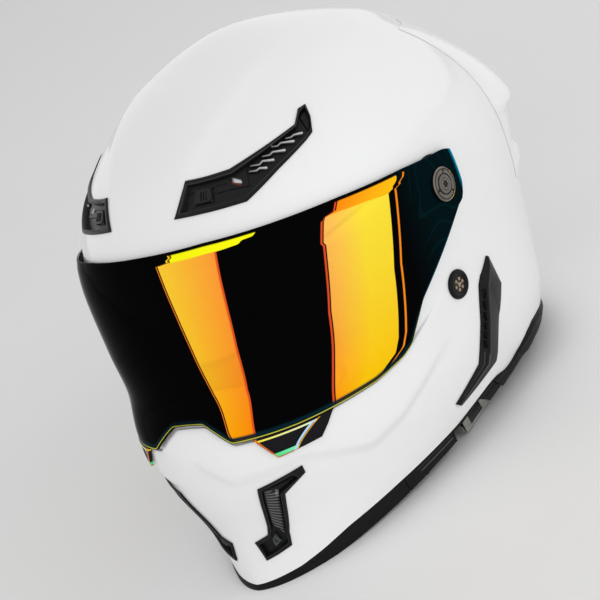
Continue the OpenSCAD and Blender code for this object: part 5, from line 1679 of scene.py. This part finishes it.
def makeStraps():
    # down the inside of the shell, over the edge of the rim and on to the buckle
    t, off = (np.interp(np.linspace(0, 4, 41), np.arange(5), values) for values in zip(*strapWall))
    down = clear(t, np.full(41, strap["bearing"]), off)[:, [0, 2]]
    x, z = strapRim
    level = strap["level"]
    rim = [(x, z + 3), (x - 1.4, z - 3)]
    loop = [*rim, (x - 4.3, level + 6.1), (x - 4.2, level + 3.7), (x - 2.6, level + 1.7),
            (x - 2.9, level - 0.6), (x - 5.2, level - 1.55), (x - 9, level - 1.2), (x - 12, level),
            (x - 15, level)]
    turn = [*rim, (x - 4.2, level + 5), (x - 7.5, level + 1.4), (x - 12, level), (x - 24, level),
            (-strap["end"], level)]
    half, thick = strap["width"] / 2, strap["thick"] / 2
    corner = np.linspace(-math.pi / 2, math.pi / 2, 9)
    end = np.stack([half - thick + thick * np.cos(corner), thick * np.sin(corner)], -1)
    flat = np.linspace(half - thick, thick - half, 26)[1:-1]
    section = np.concatenate([end, np.stack([flat, 0 * flat + thick], -1), -end,
                              np.stack([-flat, 0 * flat - thick], -1)])
    for (side, hand), rest in zip(sides, (loop, turn)):
        path = rounder(np.concatenate([down, rest]), 1.6)
        points = np.stack([side * path[:, 0], np.full(len(path), strap["middle"]), path[:, 1]], -1)
        run = strap["step"] * np.arange(len(path))[:, None]
        uv = np.stack(np.broadcast_arrays(run, section[None, :, 0]), -1).reshape(-1, 2)
        uv = np.concatenate([uv, [[0, 0]], [[strap["step"] * len(path), 0]]])
        piece = swept(f"strap{hand.capitalize()}", points, [0, 1, 0], section, uv={"weave": uv})
        place(piece, "helmet", strapWebbing, "strap_webbing", f"strap_{hand}")


buckle = {"low": 2.4, "base": 1.6, "wide": 28.4, "cheek": 1.8, "pin": (74.17, 10.2), "pinRadius": 1.5,
          "bar": (80.27, 6.1), "barRadius": 1.3, "tongue": (32.17, 70.17), "tongueWide": 23.8,
          "tongueLow": 5.8, "tongueThick": 2.0, "tooth": 0.8, "grip": 50.17, "leverLow": 9.1,
          "leverTop": 12.7, "hub": 3.1, "leverWide": 23.2,
          "clip": 83.6, "clipWide": 6.6, "baseEnds": (51.97, 73.97)}
# axes of a plate that stands along the buckle's length: across it, up, and out of its face
standingPlate = ([1, 0, 0], [0, 0, 1], [0, -1, 0])


def softened(outline, radius, steps=6):
    # each corner P becomes a curve from the point before it to the one after:
    # (1-s)^2 of the first, 2s(1-s) of P and s^2 of the last
    p = np.asarray(outline, float)
    before, after = np.roll(p, 1, 0) - p, np.roll(p, -1, 0) - p
    s = np.linspace(0, 1, steps)[None, :, None]
    first, last = (p + unit(v) * radius for v in (before, after))
    p = p[:, None]
    return ((1 - s) ** 2 * first[:, None] + 2 * s * (1 - s) * p + s ** 2 * last[:, None]).reshape(-1, 2)


def slab(name, outline, low, high, bevel, axes, sharp=35):
    # outline carried along the third axis, drawn in at both ends by a quarter circle, and closed
    across, up, along = (np.array(v, float) for v in axes)
    way = np.roll(outline, -1, 0) - np.roll(outline, 1, 0)
    out = unit(np.stack([way[:, 1], -way[:, 0]], -1))
    turn = np.linspace(0, math.pi / 2, 5)
    height = np.concatenate([low + bevel * (1 - np.sin(turn[::-1])), high - bevel * (1 - np.sin(turn))])
    inset = bevel * (1 - np.cos(np.concatenate([turn[::-1], turn])))
    flat = outline[None] - inset[:, None, None] * out[None]
    points = flat[..., :1] * across + flat[..., 1:] * up + height[:, None, None] * along
    return tube(name, points, points.mean(1)[[0, -1]], sharp=sharp)


def makePin(name, at, radius):
    # round pin across the buckle with domed ends
    y = buckle["wide"] / 2 - 0.1
    ends = np.array([0, 0.15, 0.3])
    share = np.concatenate([ends, np.linspace(0.5, 2 * y - 0.5, 12), 2 * y - ends[::-1]])
    path = np.stack([0 * share + at[0], strap["middle"] - y + share, 0 * share + at[1]], -1)
    grow = 1 - 0.35 * (1 - np.minimum(1, np.minimum(share, 2 * y - share) / 0.5)) ** 2
    return swept(name, path, [1, 0, 0], circle(radius, 32), grow=grow)


def makeBuckle():
    low, middle, half = buckle["low"], strap["middle"], buckle["wide"] / 2
    start, end = buckle["baseEnds"]
    box = [(start, middle - half), (end, middle - half), (end, middle + half), (start, middle + half)]
    base = slab("buckleBase", softened(box, 2.0), low, low + buckle["base"], 0.4, np.eye(3))
    place(base, "helmet", steel, "buckle_metal", "buckle_body")
    outline = softened([(58.17, low), (81.67, low), (82.47, 3.2), (82.47, 6.8), (77.47, 12.0),
                        (59.67, 12.4), (58.17, 10.9)], 0.35)
    for label, y in (("Front", middle - half), ("Rear", middle + half - buckle["cheek"])):
        piece = slab(f"buckleCheek{label}", outline, -y - buckle["cheek"], -y, 0.35,
                     standingPlate)
        place(piece, "helmet", steel, "buckle_metal")
    # outside the loop of webbing, a clip over each of its edges and a rod between them
    x, depth = buckle["clip"], buckle["clipWide"]
    plate = softened([(x, 2.6), (x + 1, 2.6), (x + 1, 10.6), (x, 10.6)], 0.3)
    for label, y in (("Front", middle - half), ("Rear", middle + half - depth)):
        piece = slab(f"buckleClip{label}", plate, -y - depth, -y, 0.3, standingPlate)
        place(piece, "helmet", brightSteel, "buckle_metal")
    place(makePin("buckleGuard", (x + 0.5, 4.0), 0.75), "helmet", brightSteel, "buckle_metal")
    place(makePin("leverPin", buckle["pin"], buckle["pinRadius"]), "helmet", steel, "buckle_metal")
    place(makePin("strapBar", buckle["bar"], buckle["barRadius"]), "helmet", steel, "buckle_metal")

    # tongue: flat bar with saw teeth over its rear half and rounded edges
    start, end = buckle["tongue"]
    rows, cols, drop = patch((60, buckle["tongueWide"], 0.5), (380, end - start, 0.5))
    x, y = mix(start, end, cols), mix(-0.5, 0.5, rows) * buckle["tongueWide"]
    saw = ((x - 54.17) / 3) % 1
    tooth = np.where(saw < 0.78, saw / 0.8, 0) * (x > 54.17) * (x < 68.9) * ease((9.9 - np.abs(y)) / 0.3)
    top = buckle["tongueLow"] + buckle["tongueThick"] - drop + buckle["tooth"] * tooth
    grid = np.broadcast_arrays(x, y + middle, top)
    under = np.broadcast_arrays(x, y + middle, buckle["tongueLow"] + drop)
    piece = layer("buckleTongue", np.stack(grid, -1), np.stack(under, -1), sharp=28)
    place(piece, "helmet", steel, "buckle_metal", "buckle_tongue")

    # lever: arm and hub between an upper and a lower line, with four grip ridges, bored for its pin
    px, pz = buckle["pin"]
    x = np.concatenate([mix(buckle["grip"], px - 3, np.linspace(0, 1, 200)),
                        px + buckle["hub"] * np.sin(np.linspace(-1.2, math.pi / 2, 40))])[None]
    x = np.sort(x, axis=1)
    rows, rowDrop = rounded(50, buckle["leverWide"], 0.7)
    y = mix(-0.5, 0.5, rows)[:, None] * buckle["leverWide"]
    hub = np.sqrt(np.maximum(0.02, buckle["hub"] ** 2 - (x - px) ** 2))
    inHub = np.abs(x - px) < buckle["hub"]
    top = np.where(inHub, pz + hub, 0)
    top = np.where(x < px, np.maximum(top, buckle["leverTop"]), top)
    ridge = ((x - buckle["grip"] - 1.2) / 2) % 1
    ridges = 0.85 * ease((0.25 - np.abs(ridge - 0.25)) / 0.08)
    ridges = ridges * (x > buckle["grip"] + 1.2) * (x < buckle["grip"] + 8.4)
    under = np.where(x < px, buckle["leverLow"], 99)
    under = np.minimum(under, np.where(inHub, pz - hub, 99))
    roundOff = 0.8 * (1 - np.sqrt(1 - np.clip(1 - (x - buckle["grip"]) / 0.8, 0, 1) ** 2))
    drop = rowDrop[:, None] + 0 * x
    top = np.maximum(top + ridges * ease((9.8 - np.abs(y)) / 0.3) - drop - roundOff, pz)
    under = np.minimum(under + drop + roundOff, pz)
    piece = layer("buckleLever", np.stack(np.broadcast_arrays(x, y + middle, top), -1),
                  np.stack(np.broadcast_arrays(x, y + middle, under - 0.02), -1), sharp=28)
    bore = makePin("cutter", buckle["pin"], buckle["pinRadius"] + 0.3)
    carve(piece, [bore], 28)
    place(piece, "buckle_lever", leverPlastic, "lever_plastic", "buckle_lever")


def plateHeight(r, w):
    # base plate of the pivot: raised boss, two arcs of ridge, click teeth and a rounded edge
    turn = np.degrees(w) % 180
    arc = ease((0.8 - np.abs(r - 15.7)) / 0.15) * ease((40 - np.abs(turn - 60)) / 1.5)
    click = np.abs((np.degrees(w) / 8) % 1 - 0.5)
    teeth = ease((0.75 - np.abs(r - 12.6)) / 0.15) * ease((0.12 - click) / 0.04)
    teeth = teeth * (np.degrees(w) > 110) * (np.degrees(w) < 175)
    edge = 0.5 * ease((r - 17.7) / 0.8)
    return 2.0 - edge + 1.4 * ease((10.9 - r) / 0.12) + 0.5 * arc + 0.5 * teeth


def makePlates():
    radii = np.concatenate([np.linspace(18.5, 10.5, 90), [9, 6, 3, 0.6]])
    for side, hand in sides:
        at = np.array([side * pivotFloor, pivot[1], pivot[2]])
        piece = disc(f"pivotPlate{hand.capitalize()}", at, [side, 0, 0.0], radii, 200, plateHeight, 0.0)
        place(piece, "helmet", pivotPlastic, "pivot_plastic", f"pivot_plate_{hand}")


makeStraps()
makeBuckle()
makePlates()
shown = sorted(name for name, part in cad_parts.items() if not part.hide_render)
print("strap and buckle made; nodes that still show:", shown)

# floor, world and lamps

studio = {
    "floor": (0.9, 0.9, 0.9), "world": 0.56,
    "lamps": [  # place, aim, width to height, watts
        ((-1.8, -1.5, 1.3), (0, -0.05, 0.14), 1.2, 4),
        ((2.0, -0.1, 0.9), (0, 0, 0.15), 1.2, 16),
        ((0.3, 2.0, 1.3), (0, 0.05, 0.2), 1.4, 5),
        ((0.9, -2.3, 0.8), (0, 0, 0.13), 1.2, 14),
    ],
}


def addStudio():
    made, tree, shader = finish("paleFloor", roughness=0.6, specular=0.2)
    grain = noise(tree, place3d(tree), 3.0, 3)
    tree.links.new(blendColour(tree, grain, (0.88, 0.88, 0.88), (0.92, 0.92, 0.92)),
                   shader.inputs["Base Color"])
    half = 9000
    corners = np.array([[-half, -half, 0], [half, -half, 0], [half, half, 0], [-half, half, 0]], float)
    floor = addMesh("floor", corners, [np.array([[0, 1, 2, 3]])], 0)
    floor.data.materials.append(made)
    world = bpy.data.worlds.new("studio")
    scene.world = world
    world.use_nodes = True
    tree = world.node_tree
    back = tree.nodes["Background"]
    path = node(tree, "LightPath")
    seen = maths(tree, "MAXIMUM", path.outputs["Is Camera Ray"],
                 maths(tree, "MAXIMUM", path.outputs["Is Glossy Ray"], path.outputs["Is Transmission Ray"]))
    back.inputs["Color"].default_value = (1, 1, 1, 1)
    tree.links.new(maths(tree, "ADD", maths(tree, "MULTIPLY", seen, 1 - studio["world"]), studio["world"]),
                   back.inputs["Strength"])
    for k, (spot, aim, shape, watts) in enumerate(studio["lamps"]):
        # large and soft, and left out of reflections, where the white world shows instead
        height = math.sqrt(watts / math.pi / shape)
        width = height * shape
        data = bpy.data.lights.new(f"lamp{k}", "AREA")
        data.shape, data.size, data.size_y, data.energy = "RECTANGLE", width, height, watts
        lamp = bpy.data.objects.new(f"lamp{k}", data)
        lamp.visible_glossy = False
        scene.collection.objects.link(lamp)
        back = unit(np.array(spot, float) - np.array(aim, float))
        right = unit(np.cross([0, 0, 1], back))
        lamp.matrix_world = standing(spot, right, np.cross(back, right), back)


addStudio()
scene.view_settings.view_transform = "Standard"
